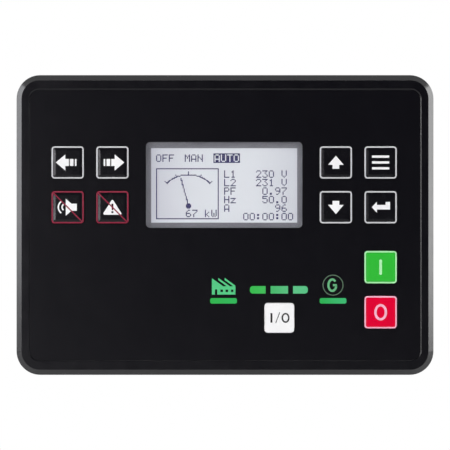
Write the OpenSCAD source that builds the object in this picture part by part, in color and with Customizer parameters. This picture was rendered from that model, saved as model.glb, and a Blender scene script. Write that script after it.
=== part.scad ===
// Genset controller for a panel cut-out: a framed key panel with a display in front, a boxed
// circuit with plug-in terminals behind. The front faces -Y, and y = 0 is the panel's face.

/* [Bezel] */
// Width of the bezel across the front
bezel_w = 185; // [183:1:192]
// Height of the bezel up the front
bezel_h = 133; // [131:1:140]
// Distance from the bezel's front face to the panel's face
front_d = 12; // [11.6:0.1:14]
// Gap between the bezel's rear edge and the panel
edge_gap = 0.8; // [0.4:0.1:1.2]
// Radius of the bezel's outer corners
bezel_corner_r = 10.5; // [9:0.5:13]
// Width of the bezel's chamfered rim, seen from the front
rim_w = 2.45; // [1.5:0.05:3]
// Depth of the bezel's chamfered rim
rim_d = 4; // [3:0.5:6]
// Thickness of the bezel's side wall
skirt_wall = 2.6; // [2.2:0.1:3]
// Thickness of the bezel's front wall behind the foil
front_wall = 2.4; // [2:0.1:2.8]

/* [Foil] */
// Distance from the bezel's side to the foil's edge
foil_inset_x = 6.15; // [5.4:0.05:6.8]
// Distance from the bezel's top or bottom to the foil's edge
foil_inset_z = 6.75; // [6:0.05:7.4]
// Radius of the foil's corners
foil_corner_r = 4; // [2:0.5:6]
// Thickness of the foil
foil_t = 0.5; // [0.3:0.05:0.6]
// Depth of the recess that takes the foil
foil_recess = 0.6; // [0.5:0.05:0.8]
// Gap around the foil in its recess
foil_gap = 0.15; // [0.1:0.05:0.3]
// Width of the bevel round the recess that takes the foil
recess_bevel_w = 0.45; // [0.3:0.05:0.7]
// Depth of the bevel round the recess that takes the foil
recess_bevel_d = 0.18; // [0.1:0.02:0.3]

/* [Keys] */
// Side of a framed key
key_size = 14.3; // [13:0.1:15]
// Side of the breaker key
breaker_size = 13.1; // [12.5:0.1:14.5]
// Radius of a key's corners
key_corner_r = 1.4; // [0.8:0.1:2]
// Height of a key above the foil
key_proud = 0.8; // [0.6:0.1:1.2]
// Travel of a key when it is pressed
key_travel = 0.7; // [0.4:0.1:0.8]
// Gap around a key in its opening
key_gap = 0.2; // [0.15:0.05:0.4]
// Width of the raised line that frames a key
key_line = 0.65; // [0.5:0.05:0.9]
// Height of a key's raised line and sign
key_relief = 0.12; // [0.08:0.02:0.2]
// Width of the bevel outside a key's raised line
line_bevel = 0.25; // [0.1:0.05:0.4]
// Width of the slope inside a key's raised line
field_inset = 1.2; // [0.8:0.1:1.6]
// Height of a key's field above the foot of its raised line
field_rise = 0.16; // [0.1:0.02:0.24]
// Width of the lip that keeps a key behind the wall
key_lip = 1; // [0.8:0.1:1.2]
// Thickness of a key's lip
key_lip_t = 1; // [0.8:0.1:1.4]
// Diameter of a key's stem
key_stem_d = 6; // [5:0.5:7]
// Distance between the centres of neighbouring arrow keys
key_pitch = 19.8; // [19:0.1:21]
// Distance from the bezel's left side to the centres of the outer left keys
left_inset = 22.9; // [22:0.1:24]
// Distance from the bezel's right side to the centres of the outer right keys
right_inset = 23.65; // [22:0.05:24.5]
// Distance from the outer right keys' centres to the breaker key's centre
breaker_reach = 44.8; // [43:0.05:47]

/* [Display] */
// Distance from the display's opening to the keys beside it
display_gap_x = 7.6; // [7:0.1:9]
// How far the display's opening reaches above and below the keys beside it
display_over_z = 1.95; // [1:0.05:2.5]
// Radius of the corners of the display's opening
display_corner_r = 1.9; // [1:0.1:2.5]
// Width of the grey frame that shows at the display's sides
frame_show_x = 2.3; // [1.8:0.1:2.8]
// Height of the grey frame that shows above and below the display
frame_show_z = 2.5; // [1.8:0.1:2.8]
// How far the grey frame's window sits below the middle of the display's opening
frame_drop = 0.2; // [0:0.05:0.3]
// Thickness of the clear pane
pane_t = 1.4; // [1.1:0.1:1.6]
// Width of the pane's rim under the foil
pane_lip = 1.6; // [1.2:0.1:2]
// Thickness of the display's sheet metal frame
frame_t = 0.8; // [0.6:0.1:1]
// Width of the display frame beyond the opening
frame_over = 3; // [2.6:0.1:3.4]
// Thickness of the display's glass
glass_t = 1.8; // [1.4:0.1:2.2]
// Thickness of the display's backlight
backlight_t = 2.2; // [1.8:0.1:2.4]

/* [Lamps] */
// Width of the load and generator lamps
lamp_w = 11.7; // [10:0.1:13]
// Height of the load and generator lamps
lamp_h = 2.3; // [2:0.1:3.2]
// Distance from the breaker key's centre left to the load lamp's centre
load_lamp_reach = 24.7; // [23:0.1:26]
// Distance from the breaker key's centre right to the generator lamp's centre
gen_lamp_reach = 23.8; // [23:0.1:26]
// Height of the line lamps
line_h = 3.2; // [3:0.1:4]
// Width of the left line lamp
line_left_w = 6.8; // [6.2:0.1:7.4]
// Width of the middle line lamp
line_middle_w = 7.6; // [7:0.1:8.2]
// Width of the right line lamp
line_right_w = 6.4; // [6:0.1:7.2]
// Distance between neighbouring line lamps
line_gap = 2.35; // [2:0.05:2.6]
// Thickness of the lip behind a lamp's window
lamp_lip_t = 0.8; // [0.6:0.1:1]

/* [Boards] */
// Thickness of the circuit boards
board_t = 1.6; // [1.2:0.1:2]
// Distance from the panel's face forward to the keypad board's front
key_board_y = 2; // [1.8:0.1:2.4]
// Distance from the panel's face back to the main board's front
main_board_y = 18; // [17:0.5:18.5]
// Gap between the boards' edges and the housing
board_gap = 1; // [0.6:0.1:1.4]
// Thickness of the dome mat's sheet
mat_t = 0.8; // [0.6:0.1:1]
// Diameter of a dome at its foot
dome_d = 10; // [9:0.5:11]
// Diameter of a dome's top
dome_top_d = 6.4; // [6:0.2:7]
// Height of a pressed dome above the mat
dome_low_h = 1.5; // [1.2:0.1:1.6]
// Wall of a dome
dome_wall = 0.6; // [0.5:0.1:0.8]
// Diameter of the screws that hold the boards
board_screw_d = 2.5; // [2:0.1:3]

/* [Housing] */
// Width of the bezel's rim that laps the panel beside the housing
lap_x = 7; // [6.6:0.1:9]
// Height of the bezel's rim that laps the panel above and below the housing
lap_z = 11; // [10.4:0.1:12]
// Depth of the terminal decks behind the panel's face
deck_y = 24; // [23.4:0.2:26]
// Depth of the raised middle behind the panel's face
back_y = 43; // [41:1:48]
// Width of the deck beside the raised middle
deck_w = 10.5; // [9:0.5:12]
// Height of the terminal decks above and below the raised middle
deck_h = 28.5; // [27.5:0.5:30]
// Wall of the housing
housing_wall = 2.2; // [1.8:0.1:2.4]
// Thickness of the housing's flange
flange_t = 2.4; // [2:0.1:2.8]
// Gap between the flange and the bezel's side wall
flange_gap = 0.2; // [0.1:0.05:0.4]
// Radius of the housing's corners
housing_corner_r = 3; // [2:0.5:4]
// Thickness of the panel gasket
gasket_t = 1.5; // [1.2:0.1:2]
// Gap between the gasket's inner edge and the housing
gasket_gap = 1; // [0.6:0.1:1.4]
// Diameter of the screws that join the housing and the bezel
housing_screw_d = 3; // [2.5:0.1:3.2]
// Width of the module cover in the housing's back
cover_w = 92; // [84:1:98]
// Height of the housing's back above and below the module cover
cover_rim = 8; // [7:0.5:10]
// Gap around the module cover
cover_gap = 0.3; // [0.2:0.05:0.5]

/* [Terminals] */
// Distance between neighbouring terminals
pole_pitch = 5.08; // [4.9:0.02:5.2]
// Width of a plug-in terminal across its row
plug_depth = 11; // [10.4:0.1:11.4]
// Height of a header above the main board
header_h = 12; // [11.4:0.2:13]
// Wall of a header
header_wall = 0.9; // [0.7:0.1:1]
// Gap between a plug and its header
plug_gap = 0.15; // [0.1:0.05:0.25]
// Length of the plug's part that stands out of its header
plug_head = 8; // [7:0.5:10]
// Gap between a plug-in terminal and the raised middle
row_gap = 7.7; // [7:0.1:8.5]
// Number of poles of a long connector
long_pole_count = 10; // [8:1:10]
// Number of poles of a short connector
short_pole_count = 6; // [4:1:6]

/* [Clamps] */
// Distance from the housing's side to a clamp
clamp_inset = 27.5; // [24:0.5:32]
// Width of a clamp bracket
clamp_w = 13; // [11:0.5:14]
// Height of a clamp bracket above the housing
clamp_h = 10; // [9:0.5:11]
// Distance from the panel's face to a clamp bracket
clamp_y = 10; // [9.5:0.5:11]
// Length of a clamp bracket
clamp_len = 13; // [11:0.5:13.5]
// Diameter of a clamp screw
clamp_screw_d = 4; // [3:0.1:4.4]
// Thickness of the panel that the clamps are set to
panel_t = 3; // [2.5:0.1:4]
// Diameter of a pressure foot
foot_d = 7.5; // [6.5:0.1:8]
// Length of a pressure foot
foot_len = 3; // [2.6:0.1:3.4]

/* [Hidden] */
$fn = 48;

// How far a cut runs past the face that it opens
over = 0.6;
// Gap around a part that drops into its place
fit_gap = 0.1;

// Stack of the front, from the outside in
front_y = -front_d;
foil_floor_y = front_y + foil_recess;
foil_front_y = foil_floor_y - foil_t;
wall_y = foil_floor_y + front_wall;
rear_edge_y = -edge_gap;
key_top_y = foil_front_y - key_proud;
field_y = key_top_y - field_rise;
key_board_front_y = -key_board_y;
key_board_back_y = key_board_front_y + board_t;
mat_front_y = key_board_front_y - mat_t;
dome_h = dome_low_h + key_travel;
dome_top_y = mat_front_y - dome_h;
main_board_back_y = main_board_y + board_t;

// Outlines of the front
bevel_reach = foil_gap + recess_bevel_w * (recess_bevel_d + over) / recess_bevel_d;
foil_w = bezel_w - 2 * foil_inset_x;
foil_h = bezel_h - 2 * foil_inset_z;
inner_w = bezel_w - 2 * skirt_wall;
inner_h = bezel_h - 2 * skirt_wall;
inner_r = bezel_corner_r - skirt_wall;

// Outlines of the housing
housing_w = bezel_w - 2 * lap_x;
housing_h = bezel_h - 2 * lap_z;
block_w = housing_w - 2 * deck_w;
block_h = housing_h - 2 * deck_h;
cover_h = block_h - 2 * cover_rim;
flange_w = inner_w - 2 * flange_gap;
flange_h = inner_h - 2 * flange_gap;
flange_r = inner_r - flange_gap;
flange_back_y = -gasket_t;
flange_front_y = flange_back_y - flange_t;
cavity_w = housing_w - 2 * housing_wall;
cavity_h = housing_h - 2 * housing_wall;
cavity_r = housing_corner_r - housing_wall;
deck_in_y = deck_y - housing_wall;
back_in_y = back_y - housing_wall;
gasket_edge = 1.2;
gasket_w = flange_w - 2 * gasket_edge;
gasket_h = flange_h - 2 * gasket_edge;
gasket_r = flange_r - gasket_edge;

// Corner posts of the housing and the bosses of the bezel that meet them
post_d = 6;
post_sink = 1.2;
post_x = cavity_w / 2 - post_d / 2 + post_sink;
post_z = cavity_h / 2 - post_d / 2 + post_sink;
screw_head_share = 1.9;
screw_head_t_share = 0.7;
drive_share = 0.25;
screw_clear = 0.3;

// Circuit boards
board_w = cavity_w - 2 * board_gap;
board_h = cavity_h - 2 * board_gap;
board_screw_len = 5;
boss_d = 6;
boss_inset_x = 4.8;
boss_inset_z = 4.6;
boss_reach = 9;
board_boss_x = cavity_w / 2 - boss_inset_x;
board_boss_rise_share = 0.37;
board_boss_z = block_h * board_boss_rise_share;
board_bosses_at = [for (x = [-1, 1], z = [-1, 1]) [x * board_boss_x, z * board_boss_z]];
mat_edge = 1;

// Heights on the front above the middle, as shares of the bezel's height
pad_share = 0.1335;
start_share = -0.1402;
stop_share = -0.2902;
breaker_share = -0.3089;
lamp_share = -0.2525;
line_share = -0.2158;
pad_z = bezel_h * pad_share;
lamp_z = bezel_h * lamp_share;
line_z = bezel_h * line_share;

// Place of each key
left_column_x = left_inset - bezel_w / 2;
left_inner_x = left_column_x + key_pitch;
right_column_x = bezel_w / 2 - right_inset;
right_inner_x = right_column_x - key_pitch;
breaker_x = right_column_x - breaker_reach;
upper_row_z = pad_z + key_pitch / 2;
lower_row_z = pad_z - key_pitch / 2;
breaker_at = [breaker_x, bezel_h * breaker_share];
framed_keys_at = [
    [left_column_x, upper_row_z], [left_inner_x, upper_row_z],
    [left_column_x, lower_row_z], [left_inner_x, lower_row_z],
    [right_inner_x, upper_row_z], [right_column_x, upper_row_z],
    [right_inner_x, lower_row_z], [right_column_x, lower_row_z],
    [right_column_x, bezel_h * start_share], [right_column_x, bezel_h * stop_share]
];
keys_at = concat(framed_keys_at, [breaker_at]);

// Screws of the keypad board
boss_rise = board_h / 2 - boss_inset_z;
keypad_screws_at = [
    [(left_column_x + left_inner_x) / 2, boss_rise], [(right_column_x + right_inner_x) / 2, boss_rise],
    [(left_column_x + left_inner_x) / 2, -boss_rise], [breaker_x - load_lamp_reach - boss_reach, -boss_rise],
    [(breaker_x + right_column_x) / 2, -boss_rise]
];

// Lamps
lamp_gap = 0.1;
lamp_lip = 0.6;
led_t = 1.2;
led_w = 3.2;
led_h = 1.6;
led_air = 0.3;
line_round_share = 0.42;
bar_round_share = 0.35;
line_lamp_r = line_h * line_round_share;
load_lamp_x = breaker_x - load_lamp_reach;
gen_lamp_x = breaker_x + gen_lamp_reach;
line_left_x = breaker_x - (line_middle_w + line_left_w) / 2 - line_gap;
line_right_x = breaker_x + (line_middle_w + line_right_w) / 2 + line_gap;

leds_at = [
    [load_lamp_x, lamp_z], [gen_lamp_x, lamp_z],
    [line_left_x, line_z], [breaker_x, line_z], [line_right_x, line_z]
];
lamp_end_y = wall_y + lamp_lip_t;
led_front_y = key_board_front_y - led_t;

// Display
display_w = right_inner_x - left_inner_x - key_size - 2 * display_gap_x;
display_h = key_pitch + key_size + 2 * display_over_z;
display_at = [(left_inner_x + right_inner_x) / 2, pad_z];
pane_w = display_w + 2 * pane_lip;
pane_h = display_h + 2 * pane_lip;
frame_w = display_w + 2 * frame_over;
frame_h = display_h + 2 * frame_over;
glass_gap = 0.2;
glass_w = frame_w - 2 * (frame_t + glass_gap);
glass_h = frame_h - 2 * (frame_t + glass_gap);
glass_y = wall_y + frame_t;
backlight_y = glass_y + glass_t;
display_board_y = backlight_y + backlight_t;

// Connectors on the main board
connector_gap = 7;
slot_gap = 0.4;
header_base = 2.5;
pin_w = 1;
pin_gap = 0.15;
plug_pin_gap = 0.3;
pin_tail = 1.2;
pin_short = 2.4;
pin_reach = header_h - pin_short;
header_back_y = main_board_back_y + header_h;
header_floor_y = main_board_back_y + header_base;
plug_back_y = header_back_y + plug_head;
header_d = plug_depth + 2 * (header_wall + plug_gap);
row_z = block_h / 2 + row_gap + header_d / 2;
function header_w(poles) = poles * pole_pitch + 2 * (header_wall + plug_gap);
side_x = (header_w(long_pole_count) + header_w(short_pole_count)) / 2 + connector_gap;
lower_x = (header_w(long_pole_count) + connector_gap) / 2;
// Connectors on the main board: place along the row, side of the middle, number of poles
connectors = [
    [-side_x, 1, short_pole_count], [0, 1, long_pole_count], [side_x, 1, short_pole_count],
    [-lower_x, -1, long_pole_count], [lower_x, -1, long_pole_count]
];
terminal_screw_d = 3;
terminal_screw_len = 3.2;
screw_sink = 0.8;
wire_w = 3.2;
wire_h = 3.6;
wire_depth = 6;

// Clamps, counted from the upper left, seen from the front
clamp_x = housing_w / 2 - clamp_inset;
clamp_sides = [[-1, 1], [1, 1], [-1, -1], [1, -1]];
clamp_screw_z = housing_h / 2 + clamp_h / 2;
clamp_clear = 0.1;
clamp_tab_w = 8;
clamp_tab_len = 3;
clamp_tab_in = 0.6;
clamp_tab_back = 1.5;
clamp_tab_gap = 0.2;
clamp_tab_y = clamp_y + clamp_tab_back;
foot_floor = 1.2;
clamp_screw_out = 11;
clamp_head_d = 7.5;
clamp_head_t = 2.6;
drive_w = 1.2;
drive_d = 1.4;

// Link between the two boards
link_poles = 10;
link_pitch = 2.54;
link_pin_w = 0.64;
link_pin_gap = 0.1;
link_socket_h = 8.5;
link_base = 2.5;
link_x_share = -0.167;
link_x = block_w * link_x_share;
link_floor = 1;
link_pin_start_y = key_board_back_y + link_floor;

// USB socket on the front of the main board, its mouth in the housing's lower wall
usb_w = 12;
usb_h = 11;
usb_len = 16.4;
usb_hole_w = 8.6;
usb_hole_h = 7.9;
usb_hole_depth = 9;
usb_tongue_w = 5.6;
usb_tongue_h = 3.2;
usb_gap = 0.3;
usb_front_y = main_board_y - usb_h;
usb_mouth_z = -housing_h / 2 + usb_gap;

// Parts on the main board
cell_d = 20;
cell_t = 3.2;
cell_wall = 2;
cell_floor = 1.4;
cell_x_share = 0.125;
cell_x = block_w * cell_x_share;
chip_w = 20;
chip_t = 1.5;
chip_gap = 4;
relay_size = [19, 15.3, 15.5];
relay_x_share = 0.4;
relay_pitch = 20;
cap_d = 12.5;
cap_len = 20;
cap_x_share = -0.4;
cap_pitch = 14;
choke_d = 15;
choke_hole_d = 6;
choke_t = 7;
choke_x = block_w * cap_x_share + 2 * cap_pitch + (choke_d - cap_d) / 2;

// Housing
vent_w = 2.4;
vent_len = 9;
vent_pitch = 7;
vent_gap = 5;
vent_edge = 10;
vent_y = deck_y + vent_gap;
vent_count = floor((block_w / 2 - vent_edge) / vent_pitch);
cover_ledge = 1.5;
cover_t = housing_wall / 2;
notch_w = 12;
notch_t = 2;
tab_drop = (housing_wall + clamp_tab_in) / 2;
clamp_head_y = clamp_y + clamp_len + clamp_screw_out;

// Colours
board_green = [0.1, 0.35, 0.15];
terminal_green = [0.12, 0.5, 0.22];
lamp_green = [0.25, 0.75, 0.4];
screw_steel = [0.75, 0.75, 0.75];
black_cap = [0.08, 0.08, 0.09];
white_sign = [0.85, 0.85, 0.87];
red_sign = [0.7, 0.1, 0.2];

// Shares of a key's side that draw the signs, from the key's centre
arrow_shares = [
    [-0.367, 0], [-0.071, 0.25], [-0.071, 0.108], [0.036, 0.108],
    [0.036, -0.108], [-0.071, -0.108], [-0.071, -0.25]
];
arrow_bar_shares = [[0.069, 0.18], [0.222, 0.272]];
arrow_half_share = 0.108;
up_shares = [
    [0, 0.21], [0.243, -0.074], [0.104, -0.074], [0.104, -0.196],
    [-0.104, -0.196], [-0.104, -0.074], [-0.243, -0.074]
];
menu_shares = [0.534, 0.072, 0.181];
enter_shares = [
    [-0.275, 0.001], [-0.117, 0.168], [-0.117, 0.071], [0.154, 0.071], [0.154, 0.165],
    [0.291, 0.165], [0.291, -0.071], [-0.117, -0.071], [-0.117, -0.169]
];
speaker_shares = [
    [0.285, 0.11], [0.118, 0.11], [-0.058, 0.263],
    [-0.058, -0.263], [0.118, -0.11], [0.285, -0.11]
];
wave_shares = [0.108, 0.222];
wave_line_share = 0.045;
wave_centre_share = -0.065;
wave_half_angle = 53;
warning_shares = [[0, 0.19], [0.243, -0.196], [-0.243, -0.196]];
warning_round_share = 0.037;
mark_bar_shares = [[-0.03, 0.11], [0.03, 0.11], [0.02, -0.09], [-0.02, -0.09]];
mark_dot_share = 0.06;
mark_dot_rise_share = -0.15;
low_relief_share = 0.6;
slash_share = 0.038;
start_shares = [0.086, 0.475];
start_round_share = 0.04;
stop_shares = [0.4, 0.508];
stop_line_share = 0.075;
breaker_bar_shares = [-0.268, 0.064, 0.322];
breaker_slash_shares = [[-0.136, -0.178], [-0.114, -0.178], [0.024, 0.187], [0.002, 0.187]];
breaker_ring_shares = [0.208, 0.268, 0.335];
breaker_line_share = 0.05;

// Rounded rectangle about the origin
module round_rect(w, h, r) {
    square([w - 2 * r, h], center = true);
    square([w, h - 2 * r], center = true);
    for (x = [-1, 1], z = [-1, 1]) {
        translate([x * (w / 2 - r), z * (h / 2 - r)]) circle(r);
    }
}

// Plate from y0 back to y1, its outline drawn as seen from the front
module plate(y0, y1) {
    translate([0, y1, 0]) rotate([90, 0, 0]) linear_extrude(y1 - y0) children();
}

// Rod from y0 back to y1
module rod(d, y0, y1) {
    translate([0, y1, 0]) rotate([90, 0, 0]) cylinder(h = y1 - y0, d = d);
}

// Copies in all four corners
module four_corners() {
    for (i = [0, 1], j = [0, 1]) mirror([i, 0, 0]) mirror([0, 0, j]) children();
}

// Moves to a place on the front
module at(place) {
    translate([place[0], 0, place[1]]) children();
}

// Block with rounded corners and sloping sides: full outline at y_wide, drawn in at y_narrow
module tapered(w, h, r, inset, y_wide, y_narrow) {
    corner = [w / 2 - r, h / 2 - r];
    translate([0, 0, -corner[1]]) linear_extrude(2 * corner[1]) polygon([
        [-w / 2, y_wide], [w / 2, y_wide], [w / 2 - inset, y_narrow], [-w / 2 + inset, y_narrow]
    ]);
    translate([-corner[0], 0, 0]) rotate([90, 0, 90]) linear_extrude(2 * corner[0]) polygon([
        [y_wide, -h / 2], [y_wide, h / 2], [y_narrow, h / 2 - inset], [y_narrow, -h / 2 + inset]
    ]);
    for (x = [-1, 1], z = [-1, 1]) {
        translate([x * corner[0], y_wide, z * corner[1]]) rotate([y_narrow < y_wide ? 90 : -90, 0, 0])
            cylinder(h = abs(y_wide - y_narrow), r1 = r, r2 = r - inset);
    }
}

// Outline of a line lamp with its outer end rounded: side is -1 for left, 1 for right, 0 for none
module line_outline(w, side, grow) {
    r = line_lamp_r;
    full_w = w + 2 * grow;
    full_h = line_h + 2 * grow;
    if (side == 0) {
        square([full_w, full_h], center = true);
    } else {
        translate([-side * r / 2, 0]) square([full_w - r, full_h], center = true);
        translate([side * (full_w - r) / 2, 0]) square([r, full_h - 2 * r], center = true);
        for (z = [-1, 1]) {
            translate([side * (full_w / 2 - r), z * (full_h / 2 - r)]) circle(r);
        }
    }
}

// Outline of the load or generator lamp
module bar_outline(grow) {
    round_rect(lamp_w + 2 * grow, lamp_h + 2 * grow, lamp_h * bar_round_share);
}

// Every lamp's window, grown by a gap
module lamp_windows(grow) {
    translate([load_lamp_x, lamp_z]) bar_outline(grow);
    translate([gen_lamp_x, lamp_z]) bar_outline(grow);
    translate([line_left_x, line_z]) line_outline(line_left_w, -1, grow);
    translate([breaker_x, line_z]) line_outline(line_middle_w, 0, grow);
    translate([line_right_x, line_z]) line_outline(line_right_w, 1, grow);
}

// Every key's opening
module key_openings() {
    for (place = framed_keys_at) {
        translate(place) round_rect(key_size + 2 * key_gap, key_size + 2 * key_gap, key_corner_r + key_gap);
    }
    translate(breaker_at)
        round_rect(breaker_size + 2 * key_gap, breaker_size + 2 * key_gap, key_corner_r + key_gap);
}

// Moves to the display's centre
module at_display() {
    translate(display_at) children();
}

module display_opening() {
    at_display() round_rect(display_w, display_h, display_corner_r);
}

// Outline of a circuit board that clears the corner posts, drawn in by a margin
module board_outline(margin) {
    corner = [board_w / 2, board_h / 2];
    notch = corner - [post_x, post_z] + (post_d / 2 + board_gap) * [1, 1];
    difference() {
        square([board_w - 2 * margin, board_h - 2 * margin], center = true);
        for (x = [-1, 1], z = [-1, 1]) {
            translate([x * corner[0], z * corner[1]]) square(2 * (notch + margin * [1, 1]), center = true);
        }
    }
}

module bezel() {
    color([0.07, 0.07, 0.08]) {
        difference() {
            union() {
                tapered(bezel_w, bezel_h, bezel_corner_r, rim_w, front_y + rim_d, front_y);
                plate(front_y + rim_d, rear_edge_y) round_rect(bezel_w, bezel_h, bezel_corner_r);
            }
            plate(front_y - over, foil_floor_y)
                round_rect(foil_w + 2 * foil_gap, foil_h + 2 * foil_gap, foil_corner_r + foil_gap);
            tapered(foil_w + 2 * bevel_reach, foil_h + 2 * bevel_reach, foil_corner_r + bevel_reach,
                bevel_reach - foil_gap, front_y - over, front_y + recess_bevel_d);
            plate(wall_y, rear_edge_y + over) round_rect(inner_w, inner_h, inner_r);
            plate(front_y, wall_y + over) key_openings();
            plate(front_y, wall_y + over) lamp_windows(lamp_gap);
            plate(front_y, wall_y + over) display_opening();
            plate(front_y, foil_floor_y + pane_t) at_display()
                round_rect(pane_w + 2 * fit_gap, pane_h + 2 * fit_gap, display_corner_r);
        }
        for (place = keypad_screws_at) {
            at(place) difference() {
                rod(boss_d, wall_y, key_board_front_y);
                rod(board_screw_d + fit_gap, key_board_back_y - board_screw_len - fit_gap, 0);
            }
        }
        four_corners() at([post_x, post_z]) difference() {
            rod(post_d, wall_y, flange_front_y);
            rod(housing_screw_d + fit_gap, wall_y + fit_gap, flange_front_y + over);
        }
    }
}

module front_foil() {
    color([0.09, 0.09, 0.1]) plate(foil_front_y, foil_floor_y) difference() {
        round_rect(foil_w, foil_h, foil_corner_r);
        key_openings();
        lamp_windows(lamp_gap);
        display_opening();
    }
}

module display_window() {
    color([0.8, 0.85, 0.85]) plate(foil_floor_y, foil_floor_y + pane_t)
        at_display() round_rect(pane_w, pane_h, display_corner_r);
}

module display_frame() {
    color([0.43, 0.43, 0.47]) difference() {
        plate(wall_y, key_board_front_y) at_display() square([frame_w, frame_h], center = true);
        plate(wall_y + frame_t, key_board_front_y + over) at_display()
            square([frame_w - 2 * frame_t, frame_h - 2 * frame_t], center = true);
        plate(wall_y - over, wall_y + frame_t + over) at_display() translate([0, -frame_drop])
            square([display_w - 2 * frame_show_x, display_h - 2 * frame_show_z], center = true);
    }
}

// One layer of the display, from y0 back to y1
module display_layer(y0, y1) {
    plate(y0, y1) at_display() square([glass_w, glass_h], center = true);
}

module display_glass() {
    color([0.8, 0.82, 0.84]) display_layer(glass_y, backlight_y);
}

module display_backlight() {
    color([0.95, 0.95, 0.95]) display_layer(backlight_y, display_board_y);
}

module display_board() {
    color(board_green) display_layer(display_board_y, display_board_y + board_t);
}

// Raised line round a key's edge, bevelled on its outside
module key_frame() {
    inner = key_size - 2 * key_line;
    difference() {
        tapered(key_size, key_size, key_corner_r, line_bevel, key_top_y, key_top_y - key_relief);
        plate(key_top_y - key_relief - over, key_top_y + over)
            round_rect(inner, inner, key_corner_r - key_line);
    }
}

// Field inside a key's raised line, which slopes up from the line
module key_field() {
    half = key_size / 2 - key_line;
    slope = [
        [-half, key_top_y], [half, key_top_y], [half - field_inset, field_y], [-half + field_inset, field_y]
    ];
    intersection() {
        translate([0, 0, -half]) linear_extrude(2 * half) polygon(slope);
        translate([-half, 0, 0]) rotate([90, 0, 90]) linear_extrude(2 * half)
            polygon([for (p = slope) [p[1], p[0]]]);
    }
}

// Outline from shares of a key's side
module sign_outline(shares) {
    polygon([for (p = shares) key_size * p]);
}

// Bar about a centre from shares of a key's side
module sign_bar(w_share, h_share) {
    square(key_size * [w_share, h_share], center = true);
}

// Upright oval ring
module ring_sign(w, h, line) {
    inner_h = h - 2 * line;
    difference() {
        scale([w / h, 1]) circle(h / 2);
        scale([(w - 2 * line) / inner_h, 1]) circle(inner_h / 2);
    }
}

module arrow_sign() {
    sign_outline(arrow_shares);
    for (bar = arrow_bar_shares) {
        translate([key_size * (bar[0] + bar[1]) / 2, 0])
            sign_bar(bar[1] - bar[0], 2 * arrow_half_share);
    }
}

module up_sign() {
    sign_outline(up_shares);
}

module menu_sign() {
    for (i = [-1, 0, 1]) {
        translate([0, i * key_size * menu_shares[2]]) sign_bar(menu_shares[0], menu_shares[1]);
    }
}

module enter_sign() {
    sign_outline(enter_shares);
}

// Loudspeaker with two sound waves on its left
module horn_sign() {
    sign_outline(speaker_shares);
    for (share = wave_shares) {
        translate([key_size * wave_centre_share, 0]) rotate(180) wave(key_size * share);
    }
}

// Arc of the sound waves, about the +X axis
module wave(r) {
    half_line = key_size * wave_line_share / 2;
    reach = 2 * r;
    intersection() {
        difference() {
            circle(r + half_line);
            circle(r - half_line);
        }
        polygon([
            [0, 0], [reach * cos(wave_half_angle), reach * sin(wave_half_angle)],
            [reach * cos(wave_half_angle), -reach * sin(wave_half_angle)]
        ]);
    }
}

// Triangle with rounded corners
module round_triangle(corners, r) {
    polygon(corners);
    for (i = [0, 1, 2]) {
        a = corners[i];
        b = corners[(i + 1) % 3];
        out = r / norm(b - a) * [a[1] - b[1], b[0] - a[0]];
        translate(a) circle(r);
        polygon([a, b, b + out, a + out]);
    }
}

// Triangle with an exclamation mark cut out of it
module fault_sign() {
    difference() {
        round_triangle([for (p = warning_shares) key_size * p], key_size * warning_round_share);
        sign_outline(mark_bar_shares);
        translate([0, key_size * mark_dot_rise_share]) sign_bar(mark_dot_share, mark_dot_share);
    }
}

// Bar across a key from the upper left to the lower right
module slash_sign() {
    intersection() {
        rotate(-45) square([2 * key_size, key_size * slash_share], center = true);
        square(key_size - 2 * key_line, center = true);
    }
}

module start_sign() {
    round_rect(key_size * start_shares[0], key_size * start_shares[1], key_size * start_round_share);
}

module stop_sign() {
    ring_sign(key_size * stop_shares[0], key_size * stop_shares[1], key_size * stop_line_share);
}

module breaker_sign() {
    translate([breaker_size * breaker_bar_shares[0], 0])
        square(breaker_size * [breaker_bar_shares[1], breaker_bar_shares[2]], center = true);
    polygon([for (p = breaker_slash_shares) breaker_size * p]);
    translate([breaker_size * breaker_ring_shares[0], 0])
        ring_sign(breaker_size * breaker_ring_shares[1], breaker_size * breaker_ring_shares[2],
            breaker_size * breaker_line_share);
}

// Key cap with its lip and stem
module key_cap(size) {
    plate(key_top_y, wall_y) round_rect(size, size, key_corner_r);
    plate(wall_y, wall_y + key_lip_t) round_rect(size + 2 * key_lip, size + 2 * key_lip, key_corner_r);
    rod(key_stem_d, wall_y + key_lip_t, dome_top_y);
}

// Key with a raised line round its field, and its sign raised on that
module framed_key(place, cap, sign) {
    at(place) {
        color(cap) {
            key_cap(key_size);
            key_field();
        }
        color(sign) {
            key_frame();
            plate(field_y - key_relief, key_top_y) children();
        }
    }
}

// Key with a red line and slash, which stand above its white sign
module reset_key(place) {
    framed_key(place, black_cap, red_sign) slash_sign();
    at(place) color(white_sign) plate(field_y - low_relief_share * key_relief, key_top_y) children();
}

module key_left() framed_key(framed_keys_at[0], black_cap, white_sign) arrow_sign();
module key_right() framed_key(framed_keys_at[1], black_cap, white_sign) mirror([1, 0]) arrow_sign();
module key_horn_reset() reset_key(framed_keys_at[2]) horn_sign();
module key_fault_reset() reset_key(framed_keys_at[3]) fault_sign();
module key_up() framed_key(framed_keys_at[4], black_cap, white_sign) up_sign();
module key_menu() framed_key(framed_keys_at[5], black_cap, white_sign) menu_sign();
module key_down() framed_key(framed_keys_at[6], black_cap, white_sign) mirror([0, 1]) up_sign();
module key_enter() framed_key(framed_keys_at[7], black_cap, white_sign) enter_sign();
module key_start() framed_key(framed_keys_at[8], [0.2, 0.73, 0.24], [0.65, 0.9, 0.67]) start_sign();
module key_stop() framed_key(framed_keys_at[9], [0.9, 0, 0.18], [1, 0.75, 0.8]) stop_sign();

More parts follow.
